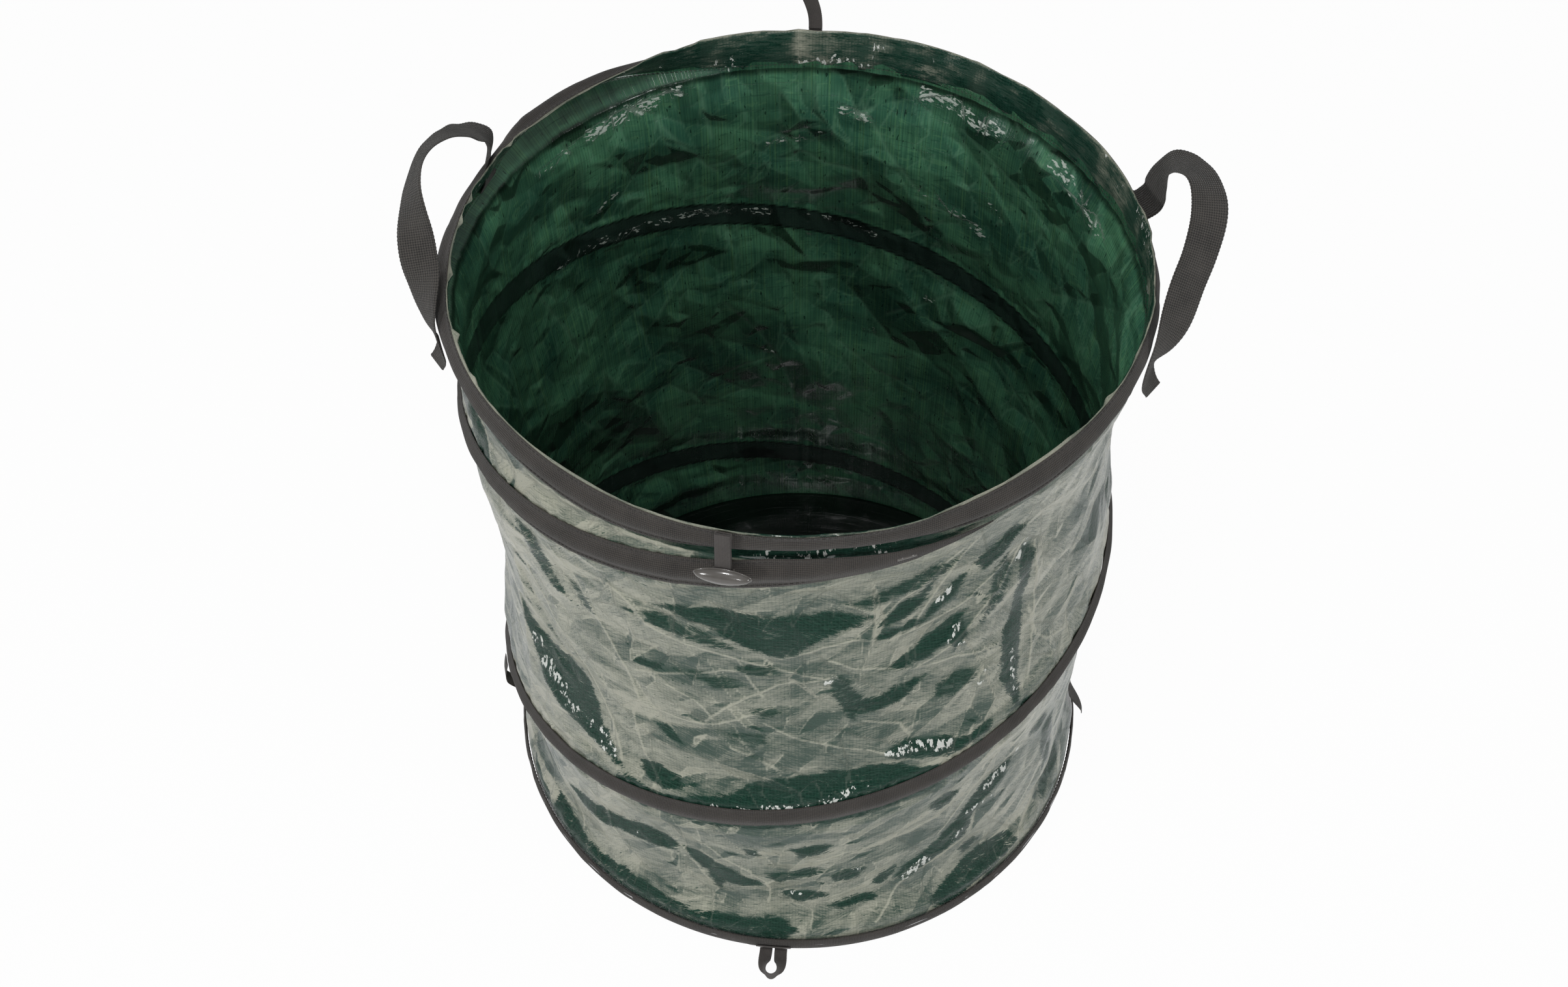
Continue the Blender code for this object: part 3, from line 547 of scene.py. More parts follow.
def sheet_mesh(name, front, back, run, across, materials, closed=False, marks=None, normals=None):
    """A closed sheet from two grids of points. run and across are its coordinates in metres,
    marks are named values at each place, and closed joins the last column to the first."""
    rows, columns = front.shape[:2]
    points = np.concatenate([front.reshape(-1, 3), back.reshape(-1, 3)])
    last = columns if closed else columns - 1
    j, i = np.meshgrid(np.arange(rows - 1), np.arange(last), indexing="ij")
    j, i = j.ravel(), i.ravel()
    k = (i + 1) % columns
    low, high = j * columns, (j + 1) * columns
    half = rows * columns
    quads = np.stack([low + i, low + k, high + k, high + i], 1)
    along, upward = np.stack([i, i + 1, i + 1, i], 1), np.stack([j, j, j + 1, j + 1], 1)
    faces = [quads, quads[:, ::-1] + half]
    cells = [along, along[:, ::-1]]
    levels = [upward, upward[:, ::-1]]
    i = np.arange(last)
    k = (i + 1) % columns
    foot = np.stack([k, i, half + i, half + k], 1)
    row = (rows - 1) * columns
    top = np.stack([row + i, row + k, half + row + k, half + row + i], 1)
    faces += [foot, top]
    cells += [np.stack([i + 1, i, i, i + 1], 1), np.stack([i, i + 1, i + 1, i], 1)]
    levels += [np.zeros_like(foot), np.full_like(top, rows - 1)]
    if not closed:
        j = np.arange(rows - 1)
        left, right = j * columns, j * columns + columns - 1
        side = np.stack([left, left + columns, half + left + columns, half + left], 1)
        faces.append(side)
        cells.append(np.zeros_like(side))
        levels.append(np.stack([j, j + 1, j + 1, j], 1))
        side = np.stack([right + columns, right, half + right, half + right + columns], 1)
        faces.append(side)
        cells.append(np.full_like(side, columns - 1))
        levels.append(np.stack([j + 1, j, j, j + 1], 1))
    slots = np.concatenate([np.full(len(part), int(n == 1)) for n, part in enumerate(faces)])
    faces, cells, levels = (np.concatenate(part) for part in (faces, cells, levels))
    first = front[:-1, :-1]
    normal = np.cross(front[:-1, 1:] - first, front[1:, :-1] - first)
    if (normal * (first - back[:-1, :-1])).sum() < 0:
        faces, cells, levels = faces[:, ::-1], cells[:, ::-1], levels[:, ::-1]
    mesh = bpy.data.meshes.new(name)
    mesh.vertices.add(len(points))
    mesh.vertices.foreach_set("co", points.astype(np.float32).ravel())
    mesh.loops.add(faces.size)
    mesh.loops.foreach_set("vertex_index", np.ascontiguousarray(faces, np.int32).ravel())
    mesh.polygons.add(len(faces))
    mesh.polygons.foreach_set("loop_start", np.arange(0, faces.size, 4, dtype=np.int32))
    mesh.update(calc_edges=True)
    for material in materials:
        mesh.materials.append(material)
    if len(materials) > 1:
        mesh.polygons.foreach_set("material_index", slots.astype(np.int32))
    mesh.shade_smooth()
    places = np.stack([np.asarray(run)[cells.ravel()], np.asarray(across)[levels.ravel()]], 1)
    layer = mesh.uv_layers.new(name="cloth")
    layer.data.foreach_set("uv", places.astype(np.float32).ravel())
    for mark, values in (marks or {}).items():
        layer = mesh.attributes.new(mark, "FLOAT", "POINT")
        layer.data.foreach_set("value", np.tile(values.ravel(), 2).astype(np.float32))
    if normals is not None:
        both = np.concatenate([normals.reshape(-1, 3), -normals.reshape(-1, 3)])
        mesh.normals_split_custom_set_from_vertices(both.tolist())
    return in_scene(name, mesh)


def face_normals(grid):
    """Directions straight out of a grid of points that goes all round the bag."""
    found = np.cross(np.roll(grid, -1, 1) - np.roll(grid, 1, 1), np.gradient(grid, axis=0))
    return found / np.linalg.norm(found, axis=2, keepdims=True)


def dress(piece, body, nodes):
    """Sets a piece on its body, in place of the solids that it stands for.
    A piece that rides on no body gives no body here, and an extra one gives no solids."""
    if body:
        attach(piece, body)
    if nodes:
        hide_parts(*nodes)
    piece.data.calc_loop_triangles()
    print(piece.name, len(piece.data.loop_triangles), "triangles")


def flatten(piece):
    """Gives a piece its own copy of its mesh; nothing is squashed here."""
    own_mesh(piece)


# %% [markdown]
# The mouth isn't a true ring. At the front the tape is rolled under, so that its lower edge
# is tucked in and a ledge of green sheet shows below it. At the left and the back left it
# leans outwards instead, and all round it rises and falls a little. These few functions say
# where the mouth's tape lies, and everything there uses them.

# %% The line of the mouth
TUCK_MIDDLE = 3.0
TUCK_HALF_WIDTH = 38.0
TUCK_ANGLE = math.radians(27)
TUCK_REACH = 0.004
FLARE_MIDDLE = -112.0
FLARE_HALF_WIDTH = 60.0
FLARE_ANGLE = math.radians(27)
FLARE_SHARE = 0.30
BACK_FLARE_FROM, BACK_FLARE_RISE = -115.5, 12.0
BACK_FLARE_TO, BACK_FLARE_FALL = -174.0, 28.0
BACK_FLARE_ANGLE = math.radians(30)
HUMP_HALF = 0.0125


def rim_tuck(azimuth):
    return swell(azimuth, TUCK_MIDDLE, TUCK_HALF_WIDTH)


def rim_lift(azimuth):
    """How far the mouth stands above its level."""
    turn = np.radians(azimuth)
    waves = 0.0007 * np.sin(5 * turn + 0.6) + 0.0006 * np.sin(9 * turn + 2.0)
    lift = -0.003 * swell(azimuth, -4, 50) + 0.006 * swell(azimuth, 62, 60)
    return lift + 0.003 * swell(azimuth, -75, 45) + waves


def rim_frame(azimuth):
    """The tape's upper edge at an azimuth, as reach and height, and its lean inwards."""
    tuck = rim_tuck(azimuth)
    flare = FLARE_ANGLE * ease(1.6 * swell(azimuth, FLARE_MIDDLE, FLARE_HALF_WIDTH))
    back_share = ease((BACK_FLARE_FROM - azimuth) / BACK_FLARE_RISE)
    back_share = back_share * ease((azimuth - BACK_FLARE_TO) / BACK_FLARE_FALL)
    flare = flare + BACK_FLARE_ANGLE * back_share
    reach = BAG_RADIUS + TUCK_REACH * tuck - FLARE_SHARE * RIM_BAND * np.sin(flare)
    return reach, RIM_TOP + rim_lift(azimuth), TUCK_ANGLE * tuck - flare


def on_rim(azimuth, down, proud):
    """Places on the mouth's tape: so far down from its upper edge, so far out of its face."""
    reach, height, lean = rim_frame(azimuth)
    reach = reach - down * np.sin(lean) + proud * np.cos(lean)
    height = height - down * np.cos(lean) - proud * np.sin(lean)
    return place(azimuth, reach, height)


def tape_foot(azimuth):
    """Height of the lower edge of the mouth's tape."""
    _, height, lean = rim_frame(azimuth)
    return height - RIM_BAND * np.cos(lean)


def hump(distance):
    """How far the wire raises a tape, at a distance from the tape's middle."""
    share = np.clip(np.abs(distance) / HUMP_HALF, 0, 1)
    return HUMP * (0.5 + 0.5 * np.cos(np.pi * share)) ** 0.8


print("foot of the mouth's tape, front and left:", tape_foot(np.array([0.0, -90.0])).round(4))

# %% [markdown]
# The wall is a crushed film. A film folds into flat facets that meet in straight creases, so
# its surface is made of scattered points at random depths, joined by Delaunay triangles and
# laid over a fine grid: a coarse layer for the large folds, then finer ones. Each facet keeps
# where its middle is, so that its fine streaks can run in one direction.

# %% Facets of a crushed film
COLUMNS = 900
WALL_TOP = 0.600
ROW = 0.002
ROWS = round(WALL_TOP / ROW) + 1
azimuths = np.arange(COLUMNS) * 360.0 / COLUMNS - 180.0
heights = np.linspace(0.0008, WALL_TOP, ROWS)
girths = np.radians(azimuths) * BAG_RADIUS
cell_run = GIRTH / COLUMNS
cell_rise = heights[1] - heights[0]


def facets(spacing_run, spacing_rise, depth, seed, slant=0.0):
    """Depths over the wall: flat between scattered points, which are joined in triangles.
    The second field says how far round the bag the middle of each place's triangle is."""
    chance = np.random.default_rng(seed)
    count = round(GIRTH / spacing_run)
    levels = round((BAG_HEIGHT + 0.1) / spacing_rise) + 1
    run = (np.arange(count) + 0.5) * GIRTH / count - GIRTH / 2
    rise = np.linspace(-0.05, BAG_HEIGHT + 0.05, levels)
    run, rise = np.meshgrid(run, rise)
    run = run + (chance.random(run.shape) - 0.5) * spacing_run * 0.95 + slant * rise
    run[1::2] += spacing_run / 2
    rise = rise + (chance.random(rise.shape) - 0.5) * spacing_rise * 0.95
    deep = (chance.random(run.shape) - 0.5) * 2 * depth
    run = (run + GIRTH / 2) % GIRTH - GIRTH / 2
    run, rise, deep = run.ravel(), rise.ravel(), deep.ravel()
    margin = 3 * spacing_run
    left, right = run > GIRTH / 2 - margin, run < -GIRTH / 2 + margin
    run = np.concatenate([run, run[left] - GIRTH, run[right] + GIRTH])
    rise = np.concatenate([rise, rise[left], rise[right]])
    deep = np.concatenate([deep, deep[left], deep[right]])
    spots = [Vector((x, y)) for x, y in zip(run, rise)]
    found = geometry.delaunay_2d_cdt(spots, [], [], 0, 1e-7)
    origin = [sources[0] for sources in found[3]]
    field = np.zeros((ROWS, COLUMNS))
    centre = np.zeros((ROWS, COLUMNS))
    for corners in found[2]:
        a, b, c = (origin[n] for n in corners[:3])
        three = [a, b, c]
        i0, i1 = np.searchsorted(girths, [run[three].min(), run[three].max()])
        j0, j1 = np.searchsorted(heights, [rise[three].min(), rise[three].max()])
        area = (rise[b] - rise[c]) * (run[a] - run[c]) + (run[c] - run[b]) * (rise[a] - rise[c])
        if i0 == i1 or j0 == j1 or abs(area) < 1e-14:
            continue
        x, y = girths[None, i0:i1], heights[j0:j1, None]
        first = ((rise[b] - rise[c]) * (x - run[c]) + (run[c] - run[b]) * (y - rise[c])) / area
        second = ((rise[c] - rise[a]) * (x - run[c]) + (run[a] - run[c]) * (y - rise[c])) / area
        third = 1 - first - second
        inside = (first > -1e-9) & (second > -1e-9) & (third > -1e-9)
        field[j0:j1, i0:i1][inside] = (first * deep[a] + second * deep[b] + third * deep[c])[inside]
        centre[j0:j1, i0:i1][inside] = (run[a] + run[b] + run[c]) / 3
    return field, centre


def softened(field, passes=1):
    """The field with its steepest steps evened out over the neighbouring cells."""
    for _ in range(passes):
        field = (np.roll(field, 1, 1) + 2 * field + np.roll(field, -1, 1)) / 4
        field[1:-1] = (field[:-2] + 2 * field[1:-1] + field[2:]) / 4
    return field


large = facets(0.105, 0.085, 0.0052, 11, 0.25)[0]
middle, middle_centre = facets(0.042, 0.036, 0.0022, 23, -0.2)
small = facets(0.017, 0.014, 0.00085, 37)[0]
wobble = facets(0.013, 0.010, 0.0022, 41)[0]
print("wall grid:", ROWS, "by", COLUMNS)
print("large folds up to", round(float(large.max()) * 1000, 1), "mm")

# %% [markdown]
# The folds follow the photograph. Each outline in front is a place where the film turns up
# towards the sky: there it gets a real hollow and is painted dark, with no painted sheen, and
# around it the painted sheen is pale. Its first number says how far it is turned. The lines
# after them are long crisp creases, each a small ridge with a painted highlight, and painted
# glints with a strength and a half width in metres. Some of these are at the back and are seen
# inside the mouth. All are drawn in degrees round the bag and millimetres up.

# %% Folds and glints, listed
TURNED_UP = [
    (0.88, [(-24.5, 507), (-22, 512), (-16, 521), (-10, 525), (-5, 521), (0, 522), (5, 528),
            (8, 523), (13, 517), (10, 511), (5, 500), (3, 492), (0, 478), (-3, 469), (-6, 474),
            (-10, 485), (-15, 498), (-20, 504)]),
    (0.62, [(-27, 492), (-23, 500), (-17, 495), (-11, 482), (-9, 474), (-14, 474), (-20, 480)]),
    (0.66, [(7, 535), (12, 541), (18, 553), (22, 562), (27, 561), (24, 548), (18, 536), (12, 527)]),
    (1, [(12.5, 503), (16, 518), (20, 531), (22, 547), (21, 524), (19, 508), (15, 497)]),
    (1, [(20, 488), (23, 508), (26, 528), (29, 540), (26.5, 514), (23, 496)]),
    (1, [(14, 436), (18, 447), (22, 463), (26, 479), (29, 482), (26, 455), (21, 439), (18, 432)]),
    (0.9, [(26, 455), (28.5, 472), (29.5, 452), (27, 436)]),
    (1, [(9, 398), (13, 403), (17, 409), (22, 412), (18, 395), (13, 384), (10, 384)]),
    (1, [(39.5, 528), (43, 512), (42.5, 460), (42.5, 400), (42, 340), (43, 302), (40.5, 318),
         (38, 360), (38, 410), (39.5, 440), (40, 480)]),
    (0.9, [(29, 545), (33, 553), (37, 567), (39.5, 556), (35, 537), (31, 528)]),
    (0.64, [(34, 528), (37, 530), (38, 500), (36, 470), (32, 450), (33, 480)]),
    (0.9, [(-36, 222), (-33, 238), (-28, 236), (-24, 240), (-18, 250), (-12, 262), (-8, 280),
           (-3, 291), (4, 297), (10, 300), (15, 304), (19, 297), (22, 289), (26, 283), (26, 250),
           (10, 235), (-10, 215), (-30, 200)]),
    (1, [(15.5, 318), (19, 326), (22, 321), (27, 314), (31, 305), (36, 312), (36, 300), (28, 292),
         (24, 300), (20, 303), (17, 308)]),
    (0.9, [(-63, 352), (-57, 338), (-50, 334), (-44, 334), (-41, 322), (-39.5, 300), (-38, 280),
           (-36, 262), (-33.5, 240), (-37, 247), (-42, 262), (-48, 269), (-54, 285), (-59, 318)]),
    (0.95, [(-30, 263), (-27, 269), (-22, 263), (-21, 250), (-25, 245), (-29, 251)]),
    (0.9, [(-10, 452), (-5, 454), (-3.5, 446), (-8, 439), (-11, 445)]),
    (0.62, [(-22, 424), (-16, 432), (-10, 430), (-8, 420), (-14, 414)]),
    (0.62, [(-10, 388), (-5, 396), (-3, 388), (-6, 376)]),
    (0.6, [(-13, 346), (-7, 353), (-4, 345), (-8, 330)]),
    (0.78, [(5, 430), (7, 441), (9, 427), (11, 402), (9.5, 372), (7.5, 392), (5.5, 412)]),
    (0.62, [(24, 395), (30, 402), (33, 386), (28, 372), (24, 380)]),
    (0.7, [(-54, 510), (-49, 505), (-46, 475), (-41, 442), (-46, 452), (-51, 475)]),
    (0.62, [(-43, 482), (-38, 470), (-36, 445), (-40, 452)]),
    (1, [(-52, 118), (-46, 124), (-41, 128), (-36, 137), (-31, 144), (-26, 144), (-23.5, 137),
         (-25, 126), (-30, 122), (-36, 117), (-41, 109), (-47, 107)]),
    (1, [(-23.5, 137), (-20, 138), (-16, 129), (-12, 119), (-8, 106), (-6.5, 96), (-11, 94),
         (-14, 98), (-16, 70), (-18, 106), (-20, 118), (-22, 127)]),
    (0.82, [(-60, 50), (-48, 36), (-35, 42), (-22, 34), (-10, 40), (-4, 46), (0, 32), (-2, 10),
            (-30, 10), (-60, 10)]),
    (0.85, [(-11, 172), (-8, 174), (-7, 162), (-10, 158)]),
    (0.85, [(-2, 183), (2, 187), (6, 184), (5, 171), (0, 168)]),
    (0.9, [(-3, 92), (0, 88), (5, 85), (6, 74), (0, 70), (-3, 80)]),
    (0.85, [(-6, 122), (-2, 130), (3, 132), (5, 124), (0, 116), (-4, 112)]),
    (0.9, [(6, 118), (9, 123), (13, 122), (12, 108), (7, 106)]),
    (0.8, [(5, 60), (10, 66), (16, 67), (15, 56), (9, 54)]),
    (0.95, [(24.5, 214), (28, 224), (31, 214), (29, 200), (26, 196)]),
    (0.88, [(46, 195), (42, 192), (38, 187), (36, 174), (34, 162), (32, 147), (29, 134), (26, 120),
            (23, 110), (20.5, 100), (19, 84), (22, 80), (25, 91), (28, 102), (31, 113), (35, 117),
            (36, 135), (37.5, 154), (40, 165), (43, 176)]),
    (0.8, [(14, 85), (17, 104), (20, 112), (19, 94), (17, 78)]),
    (0.8, [(26, 30), (30, 47), (36, 62), (41, 64), (48, 52), (50, 30), (30, 12)]),
    (0.75, [(33, 86), (38, 92), (39, 78), (35, 73)]),
    (0.9, [(56, 172), (60, 185), (62, 130), (60, 100), (57, 120)]),
    (0.75, [(50, 205), (56, 215), (57, 200), (53, 190)]),
]
CREASES = [
    [(-32, 515), (-29, 500), (-25.5, 480), (-20.5, 472), (-13.5, 466), (-3.5, 452), (4, 440)],
    [(-29, 402), (-22, 418), (-17, 428), (-13, 440), (-4, 452)],
    [(-16.5, 360), (-13, 385), (-9, 405), (-3.5, 430), (5, 438)],
    [(-27, 353), (-20, 352), (-14, 360), (-6, 388)],
    [(-44, 520), (-40, 490), (-36, 440), (-31, 395), (-29, 360), (-31, 330), (-29, 275),
     (-25, 245)],
    [(-58, 460), (-50, 400), (-43, 360), (-36, 300), (-34, 250)],
    [(5, 463), (9.5, 446), (14, 440), (20, 428), (27, 425), (37, 410)],
    [(-3, 468), (4, 486), (10, 488), (16, 482), (22, 486), (27, 492), (38, 530)],
    [(12.5, 500), (16, 523), (21, 547), (26.5, 572)],
    [(19, 485), (22, 520), (25, 550), (29, 580)],
    [(7, 536), (13, 518)],
    [(20, 428), (24, 440), (30, 462), (36, 500), (40, 535)],
    [(12, 328), (17, 312), (22, 297)],
    [(11, 372), (15, 362), (18, 355), (20, 330)],
    [(-6, 370), (0, 350), (8, 335), (11, 330)],
    [(-12, 330), (-6, 315), (-3, 300)],
    [(-43.5, 160), (-40.5, 128), (-38, 100)],
    [(-58, 150), (-55, 110), (-51, 70), (-50, 40)],
    [(-23, 135), (-20, 110), (-17.5, 88)],
    [(-19, 165), (-15, 142), (-10, 122), (-6.5, 105), (-5.5, 90), (-6, 65)],
    [(-6.5, 100), (-3, 122), (2, 118), (7, 125)],
    [(4, 150), (12, 160), (18, 168), (24, 178), (28, 176)],
    [(28, 140), (33, 170), (36, 200), (39, 225), (42, 250)],
    [(24, 100), (20, 70), (18, 45), (15, 30)],
    [(44, 430), (47, 380), (50, 360), (56, 345)],
    [(43, 520), (45, 460), (46, 400), (45, 330)],
    [(-10, 460), (-8, 430), (-6, 410)],
    [(-23, 400), (-18, 390), (-15, 365)],
    [(-152, 571), (-156, 541), (-162, 499), (-164, 492)],
    [(-162, 499), (-166, 501), (-170, 511)],
    [(-161, 595), (-162, 561), (-163, 535)],
    [(-174, 525), (-179.9, 534)],
    [(179.9, 534), (176, 542)],
    [(179, 507), (174, 495), (168, 490)],
    [(161, 396), (155, 383), (147, 363), (155, 330), (161, 308)],
    [(-160, 209), (-167, 225), (-175, 237), (-177, 212), (-179, 167)],
    [(-164, 323), (-172, 269), (-175, 237)],
    [(173, 135), (166, 118), (159, 106)],
    [(171, 259), (163, 225), (153, 211)],
    [(156, 474), (148, 463), (141, 463)],
    [(-119, 477), (-129, 354), (-127, 299), (-127, 256), (-133, 208), (-141, 158)],
    [(168, 571), (162, 518), (156, 483)],
    [(135, 309), (124, 272), (116, 267)],
    [(148, 568), (138, 550), (125, 518)],
]
GLINTS = [
    (1, 0.012, [(-57, 318), (-53, 297), (-48, 287), (-43, 278), (-39, 266), (-36.5, 255)]),
    (0.95, 0.007, [(-15, 243), (-9, 247), (-5, 254), (0, 260), (5, 267), (12, 284)]),
    (1.3, 0.006, [(16, 317), (21, 315), (27, 307)]),
    (1.2, 0.0045, [(23.5, 510), (25.5, 521)]),
    (1.2, 0.0045, [(26, 455), (27.2, 466)]),
    (1.2, 0.0035, [(28, 444), (28.8, 445)]),
    (1.2, 0.004, [(4.5, 432), (6.5, 436)]),
    (1.1, 0.0045, [(39.5, 515), (40.6, 530)]),
    (0.9, 0.005, [(33, 372), (34, 386)]),
    (0.9, 0.005, [(41.5, 330), (41, 360), (40.5, 390)]),
    (1.2, 0.0055, [(43.5, 188), (40.5, 181), (39, 176)]),
    (1, 0.0045, [(45, 196), (48, 202)]),
    (1.3, 0.006, [(26, 106), (24, 96), (21.5, 85)]),
    (1, 0.0045, [(33.5, 130), (31, 116)]),
    (1, 0.004, [(-33.5, 127), (-32.5, 131)]),
    (1, 0.004, [(-10, 170), (-8.5, 166)]),
    (1, 0.004, [(-2, 86), (1, 83)]),
    (0.9, 0.004, [(7, 118), (12, 120)]),
    (0.9, 0.005, [(35, 148), (40, 155)]),
    (1.1, 0.009, [(-157, 590), (-147, 588), (-138, 584)]),
    (0.8, 0.006, [(-138, 584), (-126, 578)]),
    (1.1, 0.01, [(156, 588), (148, 586), (140, 582)]),
    (1, 0.006, [(172, 560), (167, 556)]),
    (0.9, 0.006, [(-174, 520), (-179.9, 524)]),
    (0.9, 0.006, [(179.5, 524), (174, 534)]),
    (1, 0.0045, [(-144, 502), (-139, 490)]),
    (0.85, 0.008, [(156, 487), (150, 474), (141, 458)]),
    (0.7, 0.007, [(141, 505), (136, 492)]),
    (0.85, 0.009, [(126, 588), (118, 582), (109, 574)]),
    (0.9, 0.006, [(-128, 457), (-140, 452), (-152, 445), (-165, 438), (-174, 430)]),
    (0.8, 0.005, [(178, 424), (170, 416), (165, 408)]),
    (1, 0.004, [(-174, 244), (-173, 247)]),
    (0.9, 0.0045, [(164, 284), (166, 281)]),
    (1, 0.0045, [(153, 345), (151, 347)]),
]


def window(spots, margin):
    """The part of the wall's grid that lies within a margin of some places."""
    i = np.searchsorted(girths, [spots[:, 0].min() - margin, spots[:, 0].max() + margin])
    j = np.searchsorted(heights, [spots[:, 1].min() - margin, spots[:, 1].max() + margin])
    return slice(*j), slice(*i)


def from_line(spots, x, y, closed):
    """Distance to a line of places, less than zero outside it where the line is closed."""
    nearest = np.full(x.shape, 1.0)
    within = np.zeros(x.shape, bool)
    ends = np.roll(spots, -1, 0) if closed else spots[1:]
    for start, end in zip(spots, ends):
        run = end - start
        held = np.clip(((x - start[0]) * run[0] + (y - start[1]) * run[1]) / (run @ run), 0, 1)
        away = np.hypot(x - start[0] - held * run[0], y - start[1] - held * run[1])
        nearest = np.minimum(nearest, away)
        if closed:
            crossing = start[0] + (y - start[1]) * run[0] / (run[1] or 1e-9)
            within ^= ((start[1] > y) != (end[1] > y)) & (x < crossing)
    return np.where(within, nearest, -nearest) if closed else nearest


def unrolled(line):
    """A drawn line on the flat sheet, in metres."""
    return np.array([(math.radians(a) * BAG_RADIUS, z / 1000) for a, z in line])


wobble_run = girths[None, :] + wobble + 0.5 * middle
wobble_rise = heights[:, None] + np.roll(wobble, 57, 1) + 0.5 * np.roll(middle, 99, 1)
turned = np.zeros((ROWS, COLUMNS))
for strength, outline in TURNED_UP:
    spots = unrolled(outline)
    part = window(spots, 0.012)
    within = from_line(spots, wobble_run[part], wobble_rise[part], True)
    turned[part] = np.maximum(turned[part], strength * np.clip(0.5 + within / 0.007, 0, 1))
# A drawn crease line is a small ridge in the surface and a painted highlight line.
crease_line = np.zeros((ROWS, COLUMNS))
line_run = girths[None, :] + 0.35 * wobble
line_rise = heights[:, None] + 0.35 * np.roll(wobble, 57, 1)
for line in CREASES:
    spots = unrolled(line)
    part = window(spots, 0.008)
    away_from = from_line(spots, line_run[part], line_rise[part], False)
    crease_line[part] = np.maximum(crease_line[part], np.clip(1 - away_from / 0.0032, 0, 1))
# Where glints are painted, and the film's small wrinkles are raised in its relief.
glint_zone = np.zeros((ROWS, COLUMNS))
for strength, half, line in GLINTS:
    spots = unrolled(line)
    part = window(spots, 2 * half)
    away_from = from_line(spots, wobble_run[part], wobble_rise[part], False)
    glint_zone[part] = np.maximum(glint_zone[part], strength * np.clip(1.5 - away_from / half, 0, 1))
front_turned = turned[:, abs(azimuths) < 60] > 0.5
print("share of the front that is turned up:", round(float(front_turned.mean()), 3))

# %% [markdown]
# Slopes become a surface by adding them up. The sum is made with Fourier series, and a weak
# pull towards zero keeps it from drifting off, so each turned-up place gets a real hollow
# with a crisp edge. Between the wires the film is also drawn in, close to the tapes it is
# gathered in small pleats, and behind the sewn bands it puckers inwards.

# %% Depth, painted light and grain of the film
WAIST_DEPTH = 0.0088
WAIST_FADE = 0.050
UP_SLOPE = 0.42
HOLD = 1 / 0.035
FRONT_HALF = 64.0
SERIES_ROWS = 512


def summed(slopes):
    """The surface whose slope up the bag is nearest to these slopes, held near zero."""
    padded = np.zeros((SERIES_ROWS, COLUMNS))
    padded[:ROWS] = slopes
    up = 2 * np.pi * np.fft.fftfreq(SERIES_ROWS, cell_rise)[:, None]
    along = 2 * np.pi * np.fft.fftfreq(COLUMNS, cell_run)[None, :]
    found = -1j * up * np.fft.fft2(padded) / (up**2 + along**2 + HOLD**2)
    return np.fft.ifft2(found).real[:ROWS]


front_folds = summed(-UP_SLOPE * ease(turned))
rows_up = heights[:, None]
levels = []
for turn in (coil_height(azimuths, turn) for turn in (0, 1, 2)):
    step = (COIL_TOP - turn) / COIL_DROP * COIL_STEPS
    levels.append(np.where((step >= 0) & (step <= COIL_STEPS), turn, np.nan))
from_band = np.minimum(rows_up - BASE_BAND, tape_foot(azimuths)[None, :] - rows_up)
for level in levels:
    from_band = np.fmin(from_band, np.abs(rows_up - level) - COIL_BAND / 2)
free = np.clip(from_band, 0, None)


def wall_waist(azimuth, height):
    """How far the wall is drawn in between the wires, as in the solid."""
    pitch = COIL_DROP * 360 / COIL_STEP / COIL_STEPS
    band = COIL_BAND / 2 / pitch
    turns = (height - coil_height(azimuth)) / pitch
    share = (turns - np.floor(turns) - band) / (1 - 2 * band)
    waist = np.sin(np.pi * np.clip(share, 0, 1))
    below_rim = ease((RIM_FOOT - height) / WAIST_FADE)
    above_base = ease((height - BASE_BAND) / WAIST_FADE)
    return waist * below_rim * above_base


def knots_round(chance, shortest, longest, count):
    """Places round the bag at uneven distances, in metres."""
    knots = np.cumsum(chance.uniform(shortest, longest, count))
    knots = knots[knots < GIRTH]
    return knots / knots.max() * GIRTH - GIRTH / 2


def jagged(chance, knots):
    """Values round the bag, from -1 to 1, that run straight between the knots."""
    return np.interp(girths, knots, chance.uniform(-1, 1, len(knots)), period=GIRTH)


drawn_in = WAIST_DEPTH * wall_waist(azimuths[None, :], rows_up)
away = ease(free / 0.030)
front_share = ease((FRONT_HALF - np.abs(azimuths)) / 12)[None, :]
chance = np.random.default_rng(5)
knots = knots_round(chance, 0.004, 0.013, 400)
pleat = jagged(chance, knots)
pleats = 0.0015 * pleat[None, :] * np.exp(-free / 0.016) * ease(free / 0.004)
puckers = -0.0013 * (1 - ease(free / 0.003)) * np.abs(pleat)[None, :] * ease(rows_up / 0.05)
loose = softened(large, 2) * (1 - 0.6 * front_share) + softened(middle, 1)
depths = away * (loose - 0.0022) + ease(free / 0.012) * front_folds + ease(free / 0.010) * small
depths = depths + pleats + 0.0005 * crease_line * ease(free / 0.006)
depths = np.minimum(depths - drawn_in, 0.0012 * ease(free / 0.02)) + puckers

rough_folds = large * (1 - 0.6 * front_share) + middle + small
turned_up = -np.gradient(rough_folds, cell_rise, axis=0)
aside = (np.roll(rough_folds, -1, 1) - np.roll(rough_folds, 1, 1)) / (2 * cell_run)
# A facet that turns up steeply is painted dark, with no painted sheen, as a drawn turned-up place
# is.
by_chance = np.clip(0.5 + (turned_up - 0.115 - 0.06 * front_share) / 0.10, 0, 1)
clear = np.maximum(turned, by_chance)
